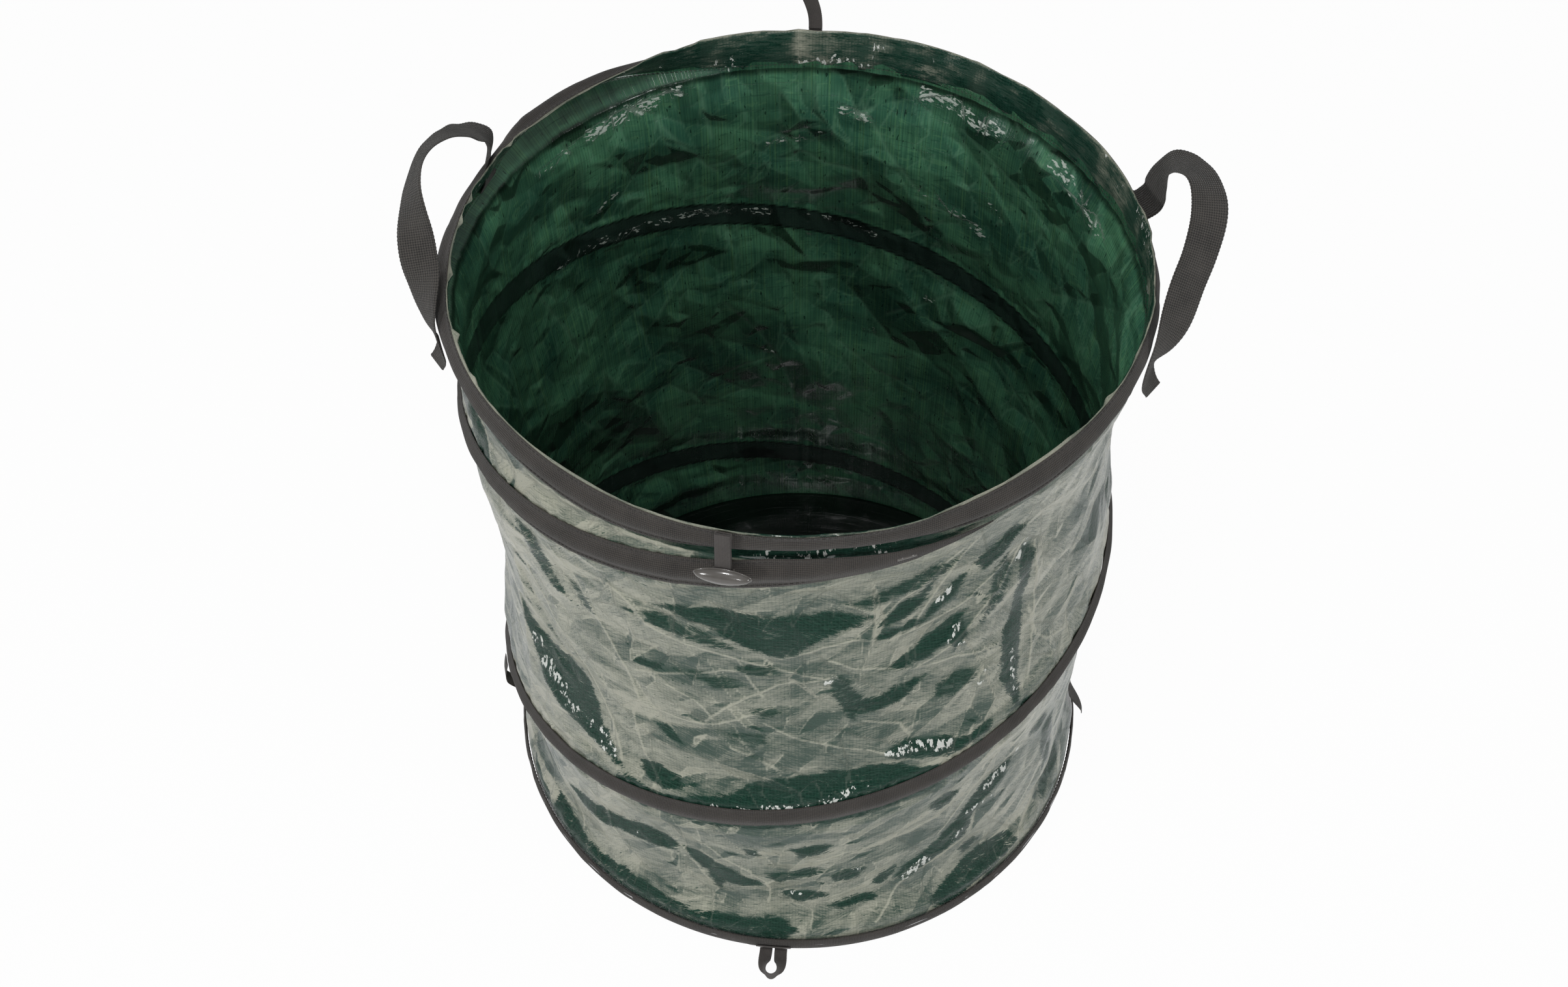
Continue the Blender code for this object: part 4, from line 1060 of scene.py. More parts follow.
# Pale lines are painted as highlights along the facets' bends, along the drawn creases and round
# the edges of the turned-up places.
bends = np.abs(np.gradient(np.gradient(rough_folds, cell_rise, axis=0), cell_rise, axis=0))
beside = np.roll(rough_folds, 1, 1) - 2 * rough_folds + np.roll(rough_folds, -1, 1)
bends += np.abs(beside) / cell_run**2
crease_highlight = np.maximum(np.clip((bends - 16) / 60, 0, 0.8), crease_line)
crease_highlight = np.maximum(crease_highlight, 2.6 * turned * np.clip(0.9 - turned, 0, 1))
# Painted light: a facet that faces down is painted lighter, one turned aside lighter or darker by
# which way it turns, the front's left and right lighter still as a painted reflection, and a belt
# across the middle painted dimmer.
painted_light = 0.5 - 2.5 * turned_up - 1.8 * aside
painted_light = painted_light + 0.22 * swell(azimuths, -46, 34)[None, :] + 0.10 * swell(azimuths, 48, 30)[None, :]
dim_belt = np.exp(-(((rows_up - 0.35) / 0.09) ** 2))
painted_light = painted_light - 0.26 * swell(azimuths, -3, 34)[None, :] * dim_belt
lean_of = np.degrees(middle_centre) / BAG_RADIUS
grain = -0.60 * ease((-lean_of - 14) / 26) + 0.65 * ease((lean_of - 14) / 26)
grain = grain * ease((100 - np.abs(lean_of)) / 25) + 3.0 * (middle_centre * 37 % 1 - 0.5) * 0.28
print("share of the wall that looks clear:", round(float((clear > 0.5).mean()), 3))
print("deepest fold:", round(float(depths.min()) * 1000, 1), "mm")

# %% [markdown]
# The wall's top rows leave the cylinder and run along the ledge to the foot of the mouth's
# tape, then up behind it. The wall is made in six parts that share their normals, so that
# each stays light enough. It rides on the base.

# %% The wall in six parts
LEDGE_ROWS = 9
STRIP_HALF = 0.0125
HEM_SHADOW_FROM = 0.592
BEHIND = 0.008
LEDGE_RUN = 0.02
ledge = np.linspace(0, 1, LEDGE_ROWS + 1)[1:, None]
foot = on_rim(azimuths, RIM_BAND - 0.0005, -0.0004)
foot_reach = np.hypot(foot[:, 0], foot[:, 1])
behind = on_rim(azimuths, RIM_BAND - BEHIND, -0.0004)
behind_reach = np.hypot(behind[:, 0], behind[:, 1])
edge_reach = BAG_RADIUS + depths[-1]
ledge_wrinkle = jagged(chance, knots)
to_foot = np.clip(ledge / 0.7, 0, 1)
past_foot = np.clip((ledge - 0.7) / 0.3, 0, 1)
ledge_reach = edge_reach + (foot_reach - edge_reach) * to_foot
ledge_reach = ledge_reach + (behind_reach - foot_reach) * past_foot
ledge_height = WALL_TOP + (foot[:, 2] - WALL_TOP) * to_foot
ledge_height = ledge_height + (behind[:, 2] - foot[:, 2]) * past_foot
ledge_height = ledge_height + 0.0012 * ledge_wrinkle * np.sin(np.pi * to_foot) * rim_tuck(azimuths)
reach = np.concatenate([BAG_RADIUS + depths, ledge_reach])
rise = np.concatenate([np.broadcast_to(rows_up, depths.shape), ledge_height])
run_up = np.concatenate([heights, WALL_TOP + LEDGE_RUN * ledge[:, 0]])
outer = place(azimuths, reach, rise)
normals = face_normals(outer)
inner = outer - normals * SHEET


def with_ledge(values, end):
    """Values of the wall's rows, with those of its ledge above them."""
    return np.concatenate([values, np.broadcast_to(end, (LEDGE_ROWS, COLUMNS))])


# The ledge below the tucked front tape faces up: it is painted dark there, with no painted sheen,
# less so at two places, and gets painted glints.
ledge_dark = np.clip(1.15 * rim_tuck(azimuths) + 0.22 * ledge_wrinkle, 0, 1)
ledge_dark = ledge_dark * (1 - 0.85 * swell(azimuths, -27, 17))
ledge_dark = ledge_dark * (1 - 0.5 * swell(azimuths, 27, 8))
band = np.zeros(depths.shape)
seam_and_shadow = np.zeros(depths.shape)
for level in levels:
    middle_distance = np.abs(rows_up - level)
    band = np.fmax(band, np.nan_to_num(1 - ease((middle_distance - STRIP_HALF) / 0.002)))
    seam_and_shadow = np.fmax(seam_and_shadow, np.nan_to_num(1 - ease(np.abs(middle_distance - STRIP_HALF) / 0.0018)))
# From this height up, under the hem, the wall gets a painted shadow.
seam_and_shadow = np.maximum(seam_and_shadow, 0.9 * ease((rows_up - HEM_SHADOW_FROM) / 0.006))
# Marks for the finishes, most of them painted light: where the painted sheen is left out, the
# painted light of each facet, painted highlights and glints, the band behind the tape, sewn lines
# with a painted shadow under the hem, and the height that paints shade lower down.
marks = {
    "clear": with_ledge(clear, ledge_dark),
    "painted_light": with_ledge(painted_light, 0.34 + 0.16 * ledge_wrinkle),
    "grain": with_ledge(grain, 0.0),
    "crease_highlight": with_ledge(crease_highlight, 0.1),
    "glint_zone": with_ledge(glint_zone, np.clip(0.8 * rim_tuck(azimuths), 0, 0.8)),
    "band": with_ledge(band, 0.0),
    "seam_and_shadow": with_ledge(seam_and_shadow, 0.0),
    "depth": with_ledge(np.broadcast_to(1 - rows_up / BAG_HEIGHT, depths.shape), 0.0),
}
WALL_PARTS = 6
part_columns = COLUMNS // WALL_PARTS
for n in range(WALL_PARTS):
    picked = np.arange(n * part_columns, (n + 1) * part_columns + 1) % COLUMNS
    run = girths[n * part_columns] + np.arange(part_columns + 1) * cell_run
    wall = sheet_mesh(
        f"wall_sheet_{n + 1}",
        outer[:, picked],
        inner[:, picked],
        run,
        run_up,
        [sheet_outside, sheet_inside],
        marks={name: values[:, picked] for name, values in marks.items()},
        normals=normals[:, picked],
    )
    dress(wall, "base", ["wall_panel"])
    flatten(wall)

# %% [markdown]
# The hem is the wall's top edge, folded inwards over itself and stitched. Its fold stands a
# few millimetres above the tape as a thin pale lip, wavy and kinked. It rides on the rim.

# %% The hem and its lip
LIP_LEAN = 0.0012
HEM_TURNED_UNDER = 0.020
HEM_THICK = 0.0004
LIP_NOTCHES = {-118: 0.003, -103: 0.004, -97: 0.003, -84: 0.003, -70: 0.004, -60: 0.002, 55: 0.002}
HEM_OUTSIDE_SHARE = 0.36
chance = np.random.default_rng(71)
lip_knots = knots_round(chance, 0.006, 0.030, 300)
lip_wave = jagged(chance, lip_knots)
lip_lean = jagged(chance, lip_knots)
kinked = 1 + 1.2 * swell(azimuths, -80, 40) + 0.8 * swell(azimuths, 48, 25)
for where, size in LIP_NOTCHES.items():
    lip_lean = lip_lean - size / LIP_LEAN * np.clip(1 - np.abs(azimuths - where) / 1.6, 0, 1)
front_roll = swell(azimuths, 2, 17)
lip_rise = LIP + 0.0006 + 0.0011 * lip_wave * kinked + 0.0024 * front_roll
hem_foot = HEM_HEIGHT + 0.0006 * lip_lean
rows = []
for share in np.linspace(0, 1, 8):
    down = HEM_TURNED_UNDER * (1 - share)
    rows.append(on_rim(azimuths, down, 0.00010 + 0.0002 * share))
for share in (0.35, 0.7, 0.92, 1.0):
    rows.append(on_rim(azimuths, -lip_rise * share, 0.0003 + LIP_LEAN * lip_lean * share))
outside_face = np.stack(rows)
rows = []
hem_small = facets(0.020, 0.012, 0.0009, 51)[0][-30:]
for n, share in enumerate(np.linspace(0, 1, 22)):
    down = -lip_rise + (lip_rise + hem_foot) * share
    puff = -0.0010 - 0.0016 * np.sin(np.pi * np.clip(share * 1.15 - 0.1, 0, 1))
    puff = np.minimum(puff + hem_small[n] * min(1, 4 * share), -0.0008)
    rows.append(on_rim(azimuths, down, puff + LIP_LEAN * lip_lean * max(0, 1 - 6 * share)))
inside_face = np.stack(rows)
hem_line = np.concatenate([outside_face, inside_face[1:]])
hem_count = len(hem_line)
hem_back = hem_line - face_normals(hem_line) * HEM_THICK
hem_run = np.linspace(-GIRTH / 2, GIRTH / 2, COLUMNS + 1)
hem_up = np.linspace(0.60, 0.66, hem_count)
hem_share = np.linspace(0, 1, hem_count)[:, None] * np.ones(COLUMNS)
hem_outside = hem_share < HEM_OUTSIDE_SHARE
hem_none = np.zeros(hem_share.shape)
# On the hem, the outer face gets the painted sheen, darker and with painted glints at the front
# roll; the inner face is painted dark in patches, more at the sides than at the back, with painted
# glints, and its darker lines near the foot are sewn lines and a painted shadow.
hem_patches = facets(0.060, 0.006, 1.0, 61)[0][:hem_count]
hem_dark = 0.66 - 0.46 * swell(azimuths, 178, 40) - 0.22 * swell(azimuths, 112, 42)
hem_inside_dark = np.clip(hem_dark + 0.40 * hem_patches, 0, 1)
hem_inside_glints = np.clip(0.26 + 0.90 * np.roll(hem_patches, 80, 1), 0, 0.95)
hem_marks = {
    "clear": np.where(hem_outside, 0.1 + 0.55 * front_roll, hem_inside_dark),
    "painted_light": np.where(hem_outside, 0.75, 0.22 + 0.16 * np.roll(hem_patches, 40, 1)),
    "glint_zone": np.where(hem_outside, 0.85 * front_roll, hem_inside_glints),
    "grain": hem_none,
    "crease_highlight": np.clip(0.3 + 0.5 * lip_wave, 0, 1) + hem_none,
    "band": hem_none,
    "seam_and_shadow": (1 - ease(np.abs(hem_share - 0.90) / 0.03)) * 0.9,
    "depth": hem_none,
}
print("hem rows:", hem_count)
hem = sheet_mesh(
    "rim_hem_fold", hem_line, hem_back, hem_run, hem_up, [sheet_outside], True, hem_marks
)
dress(hem, "rim", ["rim_hem"])

# %% [markdown]
# Each band is a tape folded over the wire and sewn flat along both edges. A row of places
# across the tape, raised in the middle by the wire, is swept along the band's line. The
# edges wander a little and the tape puckers, as sewn tape does.

# %% Bands of tape


BAND_PROUD = 0.0009


def pucker(run, seed, pitch, size):
    """A jagged wander along a band, in metres."""
    chance = np.random.default_rng(seed)
    count = max(4, int(abs(run[-1] - run[0]) / pitch))
    knots = np.sort(chance.uniform(run.min(), run.max(), count))
    return np.interp(run, knots, chance.uniform(-size, size, count))


def on_wall(azimuth, across, proud):
    return place(azimuth, BAG_RADIUS + proud, across)


def on_mouth(azimuth, across, proud):
    return on_rim(azimuth, -across, proud)


def band_piece(name, body, node, azimuth, low, high, seed, closed, lay=on_wall):
    """A tape round the bag from azimuth to azimuth, between its low and high edges."""
    run = np.radians(azimuth) * BAG_RADIUS
    run_uv = np.append(run, run[-1] + run[1] - run[0]) if closed else run
    wander = pucker(run, seed, 0.035, 0.0007)
    wander_low = pucker(run, seed + 1, 0.030, 0.0008)
    if closed:
        counted = np.arange(len(run))
        fade = np.minimum(1, np.minimum(counted, counted[::-1]) / 12)
        wander, wander_low = wander * fade, wander_low * fade
    shares = np.linspace(0, 1, 19)[:, None]
    low, high = low + wander_low, high + wander
    width = high - low
    across = low + width * shares
    lift = hump(across - (low + high) / 2) * np.clip(width / RIM_BAND, 0.2, 1) ** 0.5
    ripple = 0.0002 * np.sin(run / 0.0075 + 3 * shares) + pucker(run, seed + 2, 0.012, 0.00025)
    proud = BAND_PROUD + lift + ripple * np.sin(np.pi * shares)
    front, back = lay(azimuth, across, proud), lay(azimuth, across, proud - TAPE)
    made = sheet_mesh(name, front, back, run_uv, shares[:, 0] * RIM_BAND, [band_tape], closed)
    dress(made, body, [node])
    return made


ring_azimuths = np.arange(720) * 0.5 - 180
level = np.zeros(len(ring_azimuths))
rim_tape = band_piece(
    "rim_tape", "rim", "rim_binding", ring_azimuths, level - RIM_BAND, level, 101, True, on_mouth
)
base_tape = band_piece(
    "base_tape", "base", "base_binding", ring_azimuths, level + 0.0011, level + BASE_TAPE, 111, True
)

COIL_GAP = 0.0006
COIL_NARROWS = 0.0038
coil_azimuths = np.arange(COIL_TOP_AZIMUTH, COIL_TOP_AZIMUTH - COIL_STEP * COIL_STEPS, -0.5)
coil_middle = coil_height(coil_azimuths)
coil_ceiling = tape_foot((coil_azimuths + 180) % 360 - 180) - COIL_GAP
coil_step = (COIL_TOP_AZIMUTH - coil_azimuths) / COIL_STEP
coil_half = COIL_BAND / 2 - COIL_NARROWS * ease((coil_step - 12) / 14)
coil_high = np.minimum(coil_middle + coil_half, coil_ceiling)
coil_low = np.maximum(coil_middle - coil_half, BASE_TAPE + COIL_GAP)
shown = coil_high - coil_low > 0.0015
shown_azimuths, shown_low, shown_high = coil_azimuths[shown], coil_low[shown], coil_high[shown]
coil_tape = band_piece(
    "coil_tape", "base", "coil_binding", shown_azimuths, shown_low, shown_high, 121, False
)
flatten(coil_tape)

# %% [markdown]
# The bottom is a loose disc of the same sheet. It lies on the floor, lightly crumpled, and
# seen from above it is nearly black, because no light comes through it from below. Its marks
# paint it nearly black as painted shade, with painted glints near its back edge.

# %% The bottom
BASE_RINGS = 60
BASE_SPOKES = 240
ring_share = (np.arange(BASE_RINGS + 1) / BASE_RINGS) ** 0.8
ring_share[0] = 0.004
spokes = np.arange(BASE_SPOKES) * 360.0 / BASE_SPOKES - 180
reach = (BAG_RADIUS - 0.0006) * ring_share[:, None]
base_x = reach * np.sin(np.radians(spokes))
base_y = -reach * np.cos(np.radians(spokes))


def sampled(field, x, y):
    """The wall's facets read as a flat picture, for a disc of the same crushed film."""
    i = np.clip(((x + GIRTH / 2) / cell_run).astype(int), 0, COLUMNS - 1)
    j = np.clip(((y + 0.3) / cell_rise).astype(int), 0, ROWS - 1)
    return field[j, i]


crumple = 0.45 * sampled(softened(large, 3), base_x, base_y)
crumple = crumple + 0.6 * sampled(softened(middle, 2), base_x, base_y)
crumple = 0.0030 + crumple * 0.9 + 0.4 * sampled(small, base_x, base_y)
out = ring_share[:, None]
base_rise = 0.0010 + np.clip(crumple, 0, None) * ease((1 - out) / 0.12) * ease(out / 0.03)
top_face = np.stack([base_x, base_y, base_rise], -1)
low_face = top_face - np.array([0, 0, SHEET])
low_face[..., 2] = np.maximum(low_face[..., 2], 0.0001)
plain = np.zeros(base_x.shape)
# Painted shade makes the disc nearly black; painted glints lie near its back edge.
base_marks = {name: plain for name in ("clear", "grain", "crease_highlight")}
base_marks |= {"painted_light": plain + 0.5, "band": plain + 0.9, "seam_and_shadow": plain + 0.6, "depth": plain + 3.6}
base_marks["glint_zone"] = plain + 0.9 * swell(spokes, 170, 40)[None, :] * ease((out - 0.80) / 0.06)
base_disc = sheet_mesh(
    "base_disc",
    top_face[::-1],
    low_face[::-1],
    np.linspace(-GIRTH / 2, GIRTH / 2, BASE_SPOKES + 1),
    ring_share * BAG_RADIUS,
    [sheet_inside, sheet_outside],
    True,
    base_marks,
)
dress(base_disc, "base", ["base_panel"])

# %% [markdown]
# The wires are hidden in their tapes, but they are what holds the bag open, so each one is
# there as a round rod. A rod is a ring of points carried along a line.

# %% Wires and end caps


def rod_mesh(name, line, radius, sides, material, closed, body, nodes):
    """A round rod along a line of points."""
    if closed:
        ahead = np.roll(line, -1, 0) - np.roll(line, 1, 0)
    else:
        ahead = np.gradient(line, axis=0)
    ahead /= np.linalg.norm(ahead, axis=1, keepdims=True)
    guide = np.array([0, 0, 1.0]) if np.abs(ahead[:, 2]).max() < 0.9 else np.array([1.0, 0, 0])
    across = np.cross(ahead, guide)
    across /= np.linalg.norm(across, axis=1, keepdims=True)
    up = np.cross(across, ahead)
    angle = (np.arange(sides) * 2 * math.pi / sides)[None, :, None]
    ring = across[:, None] * np.cos(angle) + up[:, None] * np.sin(angle)
    points = (line[:, None] + ring * radius).reshape(-1, 3).tolist()
    count = len(line)
    faces = []
    for n in range(count if closed else count - 1):
        here, there = n * sides, (n + 1) % count * sides
        for k in range(sides):
            following = (k + 1) % sides
            faces.append((here + k, here + following, there + following, there + k))
    if not closed:
        faces.append(tuple(range(sides))[::-1])
        faces.append(tuple((count - 1) * sides + k for k in range(sides)))
    mesh = bpy.data.meshes.new(name)
    mesh.from_pydata(points, [], faces)
    mesh.materials.append(material)
    mesh.shade_smooth()
    made = in_scene(name, mesh)
    dress(made, body, nodes)
    return made


def wire(name, line, closed, body, *nodes):
    return rod_mesh(name, line, WIRE / 2, 8, steel, closed, body, nodes)


WIRE_REACH = BAG_RADIUS + 0.0025
CAP_WALL = 0.0006
CAP_POINTS = 4
rim_line = on_rim(ring_azimuths[::3], RIM_BAND / 2, 0.0027)
base_line = place(ring_azimuths[::3], WIRE_REACH, BASE_BAND / 2)
wire("rim_hoop", rim_line, True, "rim", "rim_wire", "rim_wire_sleeve")
wire("base_hoop", base_line, True, "base", "base_wire", "base_wire_sleeve")
long_enough = coil_high - coil_low > 0.012
coil_line = place(coil_azimuths, WIRE_REACH, (coil_high + coil_low) / 2)[long_enough][::2]
coil_rod = wire("coil_spring", coil_line, False, "base", "coil_wire")
coil_ends = {"coil_top_cap": coil_line[:CAP_POINTS], "coil_foot_cap": coil_line[-CAP_POINTS:]}
for node, line in coil_ends.items():
    shell, radius = node + "_shell", WIRE / 2 + CAP_WALL
    cap = rod_mesh(shell, line, radius, 10, plastic, False, "base", [node])
    flatten(cap)
flatten(coil_rod)

# %% [markdown]
# A handle is one length of webbing. Both its ends are sewn flat on the mouth's tape, and in
# between it stands up as an arch that turns edge-on at its crown. Each row of its drawn line
# is a place in millimetres from its hinge and the direction of its width in hundredths. The
# handle is one ribbon, and it rides on no body.

# %% Ribbons, and the two handles
SIDE_LEAN = 19.5
WEBBING = 0.0016
WEBBING_WIDTH = 0.030
HANDLES = {"left": -95.0, "right": 89.0}
HANDLE_HINGE = 0.612
HANDLE_FOOT = 0.588
HANDLE_ROOT = 0.008
HANDLE_LINES = {
    "right": [
        (-94, -2, 4, 85, -40, -30), (-88, -8, 12, 58, -50, -64), (-79, -15, 19, 34, -71, -61),
        (-71, -20, 27, 15, -85, -51), (-61, -24, 38, 8, -89, -44), (-49, -29, 49, 2, -87, -49),
        (-39, -35, 59, 2, -88, -47), (-29, -39, 70, 2, -92, -39), (-17, -43, 80, 2, -97, -26),
        (-5, -44, 89, 8, -98, -16), (9, -42, 95, 48, -85, -22), (23, -38, 95, 77, -59, -24),
        (37, -29, 90, 90, -36, -25), (51, -21, 77, 96, -10, -22), (67, -18, 44, 86, 27, -42),
        (80, -17, 16, 85, 33, -40), (91, -7, -6, 93, 34, -15),
    ],
    "left": [
        (-93, 2, 12, 90, 20, 40), (-89, 7, 32, 82, 10, 55), (-82, 10, 50, 83, 5, 55),
        (-73, 6, 67, 84, 18, 51), (-61, 1, 77, 88, 23, 42), (-48, -3, 88, 83, 23, 51),
        (-35, -11, 96, 84, 28, 47), (-20, -20, 98, 81, 36, 47), (-6, -25, 96, 77, 38, 52),
        (8, -27, 92, 75, 44, 49), (22, -27, 87, 68, 61, 40), (36, -24, 78, 46, 84, 29),
        (48, -21, 65, 10, 100, 2), (59, -18, 53, -5, 99, -5), (69, -14, 41, 15, 93, 33),
        (79, -13, 27, 36, 69, 63), (87, -10, 12, 65, 46, 60), (94, -4, 2, 88, 35, 30),
    ],
}
RIB_PITCH = 0.0030
HANDLE_STEP = 0.0006
HANDLE_ROUNDING = 260


def line_length(line):
    return float(np.linalg.norm(np.diff(line, axis=0), axis=1).sum())


def run_along(line):
    """How far along the line each of its points is."""
    return np.concatenate([[0], np.cumsum(np.linalg.norm(np.diff(line, axis=0), axis=1))])


def read_off(values, run, steps):
    """Points or directions along a line, read off at other steps of its run."""
    return np.stack([np.interp(steps, run, [value[k] for value in values]) for k in range(3)], 1)


def rounded(line, times):
    """The line with each point drawn towards its neighbours, so many times."""
    for _ in range(times):
        line[1:-1] = (line[:-2] + 2 * line[1:-1] + line[2:]) / 4
    return line


def ribbon(name, line, sides, width, thick, material, cells, scallop, pitch):
    """A flat ribbon along a line, its width laid along the given side directions. Its edges
    swell a little at every pitch, as woven edges do."""
    ahead = np.gradient(line, axis=0)
    ahead /= np.linalg.norm(ahead, axis=1, keepdims=True)
    sides = sides - ahead * (sides * ahead).sum(1, keepdims=True)
    sides /= np.linalg.norm(sides, axis=1, keepdims=True)
    face = np.cross(sides, ahead)
    run = run_along(line)
    width = np.broadcast_to(width, len(line)) * (1 + scallop * np.cos(2 * np.pi * run / pitch))
    shares = np.linspace(-0.5, 0.5, cells + 1)[:, None]
    edge = np.clip((0.5 - np.abs(shares)) / 0.04, 0.25, 1)
    half = thick / 2 * edge[:, :, None]
    middle = line + sides * (width * shares)[:, :, None]
    front, back = middle + face * half, middle - face * half
    across = (shares[:, 0] + 0.5) * float(width.mean())
    return sheet_mesh(name, front, back, run, across, [material])


def resample(line, sides, spacing):
    """The same line and sides at an even, finer spacing, rounded a little at the corners."""
    run = run_along(line)
    even = np.linspace(0, run[-1], max(3, int(run[-1] / spacing)))
    return rounded(read_off(line, run, even), 6), rounded(read_off(sides, run, even), 6)


def rotated(vectors, azimuth):
    """Vectors turned about the bag's axis."""
    cosine, sine = math.cos(math.radians(azimuth)), math.sin(math.radians(azimuth))
    matrix = np.array([[cosine, -sine, 0], [sine, cosine, 0], [0, 0, 1]])
    return np.asarray(vectors, float) @ matrix.T


def handle_ribbon(which, azimuth):
    """A handle from one sewn end over its drawn line to the other sewn end."""
    root_reach = SEAT + WEBBING / 2 + 0.0002
    chord_reach = root_reach * math.cos(math.radians(SIDE_LEAN))
    half_chord = root_reach * math.sin(math.radians(SIDE_LEAN))
    end_line, end_sides = [], []
    for share in np.linspace(1, 0, 10):
        height = -HANDLE_ROOT + (HANDLE_FOOT - HANDLE_HINGE + HANDLE_ROOT) * share
        end_line.append((-half_chord, -0.007 * share * share, height))
        turned_by = math.radians(-SIDE_LEAN - 36 * share * share)
        end_sides.append((math.cos(turned_by), math.sin(turned_by), 0.0))
    end_line, end_sides = np.array(end_line), np.array(end_sides)
    drawn = np.array(HANDLE_LINES[which])
    free_line, free_sides = drawn[:, :3] / 1000, drawn[:, 3:] / 100
    line = np.concatenate([end_line, free_line, end_line[::-1] * (-1, 1, 1)])
    sides = np.concatenate([end_sides, free_sides, end_sides[::-1] * (1, -1, 1)])
    line, sides = resample(line, sides, HANDLE_STEP)
    line, sides = rounded(line, HANDLE_ROUNDING), rounded(sides, HANDLE_ROUNDING)
    seat = place(azimuth, chord_reach, HANDLE_HINGE)
    line, sides = rotated(line, azimuth) + seat, rotated(sides, azimuth)
    reached = np.arange(len(line)) * HANDLE_STEP
    from_end = np.minimum(reached, reached[::-1])
    wide = WEBBING_WIDTH * (0.55 + 0.45 * ease(from_end / 0.022))
    name = f"{which}_handle"
    made = ribbon(name + "_webbing", line, sides, wide, WEBBING, webbing, 14, 0.012, RIB_PITCH)
    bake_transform(made)
    dress(made, None, [name, name + "_first_end", name + "_second_end"])
    print("its length:", round(line_length(line), 3), "m")


for which, azimuth in HANDLES.items():
    handle_ribbon(which, azimuth)

# %% [markdown]
# Two short straps of tape hang from the mouth, and each one carries a toggle in its folded
# end. They keep the flattened bag closed. The back strap stands up, leaning and turned. A
# strap is one ribbon that runs down to the toggle's bar, round it and up again.

# %% Straps
STRAPS = {"front": -10.7, "back": 177.0}
STRAP_WEAVE = (10, 0.010, 0.0016)
STRAP_LIFT = {"front": 0.0, "back": 165.0}
STRAP_LEAN = {"front": 0.0, "back": 14.0}
STRAP_TWIST = {"front": 0.0, "back": -32.0}
STRAP_WIDTH = 0.012
STRAP_LENGTH = 0.041
BAR = 0.0028
EYE = BAR / 2 + GAP + TAPE / 2
STRAP_HINGE = SEAT + TAPE + GAP / 2
BAR_DEPTH = -GAP / 2 - TAPE / 2 - EYE


def strap_turn(which, share):
    """How a strap's cross section is turned, so much of the way from its root to its bar."""
    twist = Matrix.Rotation(math.radians(STRAP_TWIST[which]) * share, 3, "Z")
    return Matrix.Rotation(-math.radians(STRAP_LEAN[which]) * share, 3, "Y") @ twist


def strap_point(which, point):
    """Where a point of the plain hanging strap lies once the strap is leaned and turned."""
    drop = min(STRAP_LENGTH, -point.z)
    share = float(ease(drop / STRAP_LENGTH))
    middle = Vector((0, BAR_DEPTH * (1 + share) / 2, -drop))
    aside = Vector((drop * math.tan(math.radians(STRAP_LEAN[which])) * share, 0, 0))
    return middle + aside + strap_turn(which, share) @ (point - middle)


def strap_seat(which):
    """The frame of a strap: its root on the rim, turned to its azimuth and its lift."""
    azimuth = STRAPS[which]
    turn = Matrix.Rotation(math.radians(azimuth), 4, "Z")
    turn = turn @ Matrix.Rotation(-math.radians(STRAP_LIFT[which]), 4, "X")
    return Matrix.Translation(Vector(place(azimuth, STRAP_HINGE, RIM_TOP))) @ turn


def strap_ribbon(which):
    """A strap's tape: down behind the toggle's bar, round it and up again."""
    seat = strap_seat(which)
    inner = BAR_DEPTH + EYE
    outer = inner - TAPE - GAP
    plain = [Vector((0, inner, -STRAP_LENGTH * n / 24)) for n in range(25)]
    for n in range(1, 12):
        angle = math.pi * n / 12
        round_bar = (EYE * math.cos(angle), EYE * math.sin(angle))
        plain.append(Vector((0, BAR_DEPTH + round_bar[0], -STRAP_LENGTH - round_bar[1])))
    for n in range(25):
        share = n / 24
        depth = (BAR_DEPTH - EYE) * (1 - share) + outer * share
        plain.append(Vector((0, depth, -STRAP_LENGTH * (1 - share))))
    half = Vector((STRAP_WIDTH / 2, 0, 0))
    line, sides = [], []
    for point in plain:
        left = seat @ strap_point(which, point - half)
        right = seat @ strap_point(which, point + half)
        line.append((left + right) / 2)
        sides.append(right - left)
    run = np.concatenate([[0], np.cumsum([(b - a).length for a, b in zip(line, line[1:])])])
    even = np.linspace(0, run[-1], 220)
    line, sides = read_off(line, run, even), read_off(sides, run, even)
    name = f"{which}_strap"
    made = ribbon(name + "_tape", line, sides, STRAP_WIDTH, TAPE, strap_tape, *STRAP_WEAVE)
    dress(made, name, [name])


STRAP_END = 0.018


def strap_end(which):
    """The sewn end of a strap: flat on the mouth's tape, then out to the strap's root."""
    azimuth = STRAPS[which]
    shares = np.linspace(0, 1, 24)
    spread = math.degrees(STRAP_WIDTH / 2 / SEAT) * np.linspace(-1, 1, 11)[:, None]
    down = STRAP_END * (1 - shares)
    base = hump(down - RIM_BAND / 2) * 0.9 + 0.0018
    rooted = on_rim(azimuth + spread, down[None, :], base[None, :])
    root = place(azimuth + spread, STRAP_HINGE - TAPE / 2 - GAP, RIM_TOP - 0.0004)
    mix = ease((shares - 0.55) / 0.45)[None, :, None]
    front = rooted * (1 - mix) + root * mix
    back = front - place(azimuth + spread, 1.0, 0.0) * TAPE
    run, across = STRAP_END * shares, np.linspace(0, STRAP_WIDTH, 11)
    made = sheet_mesh(f"{which}_strap_root", front, back, run, across, [strap_tape])
    dress(made, "rim", [f"{which}_strap_end"])


for which in STRAPS:
    strap_ribbon(which)
    strap_end(which)

# %% [markdown]
# A toggle is a moulded lens of smoky plastic: a smooth dome on a thin flange, with a bar
# between two lugs at its back for the strap. The lens is a grid of rings from its middle out
# to the rim and round to the back, narrowed towards its two tips.

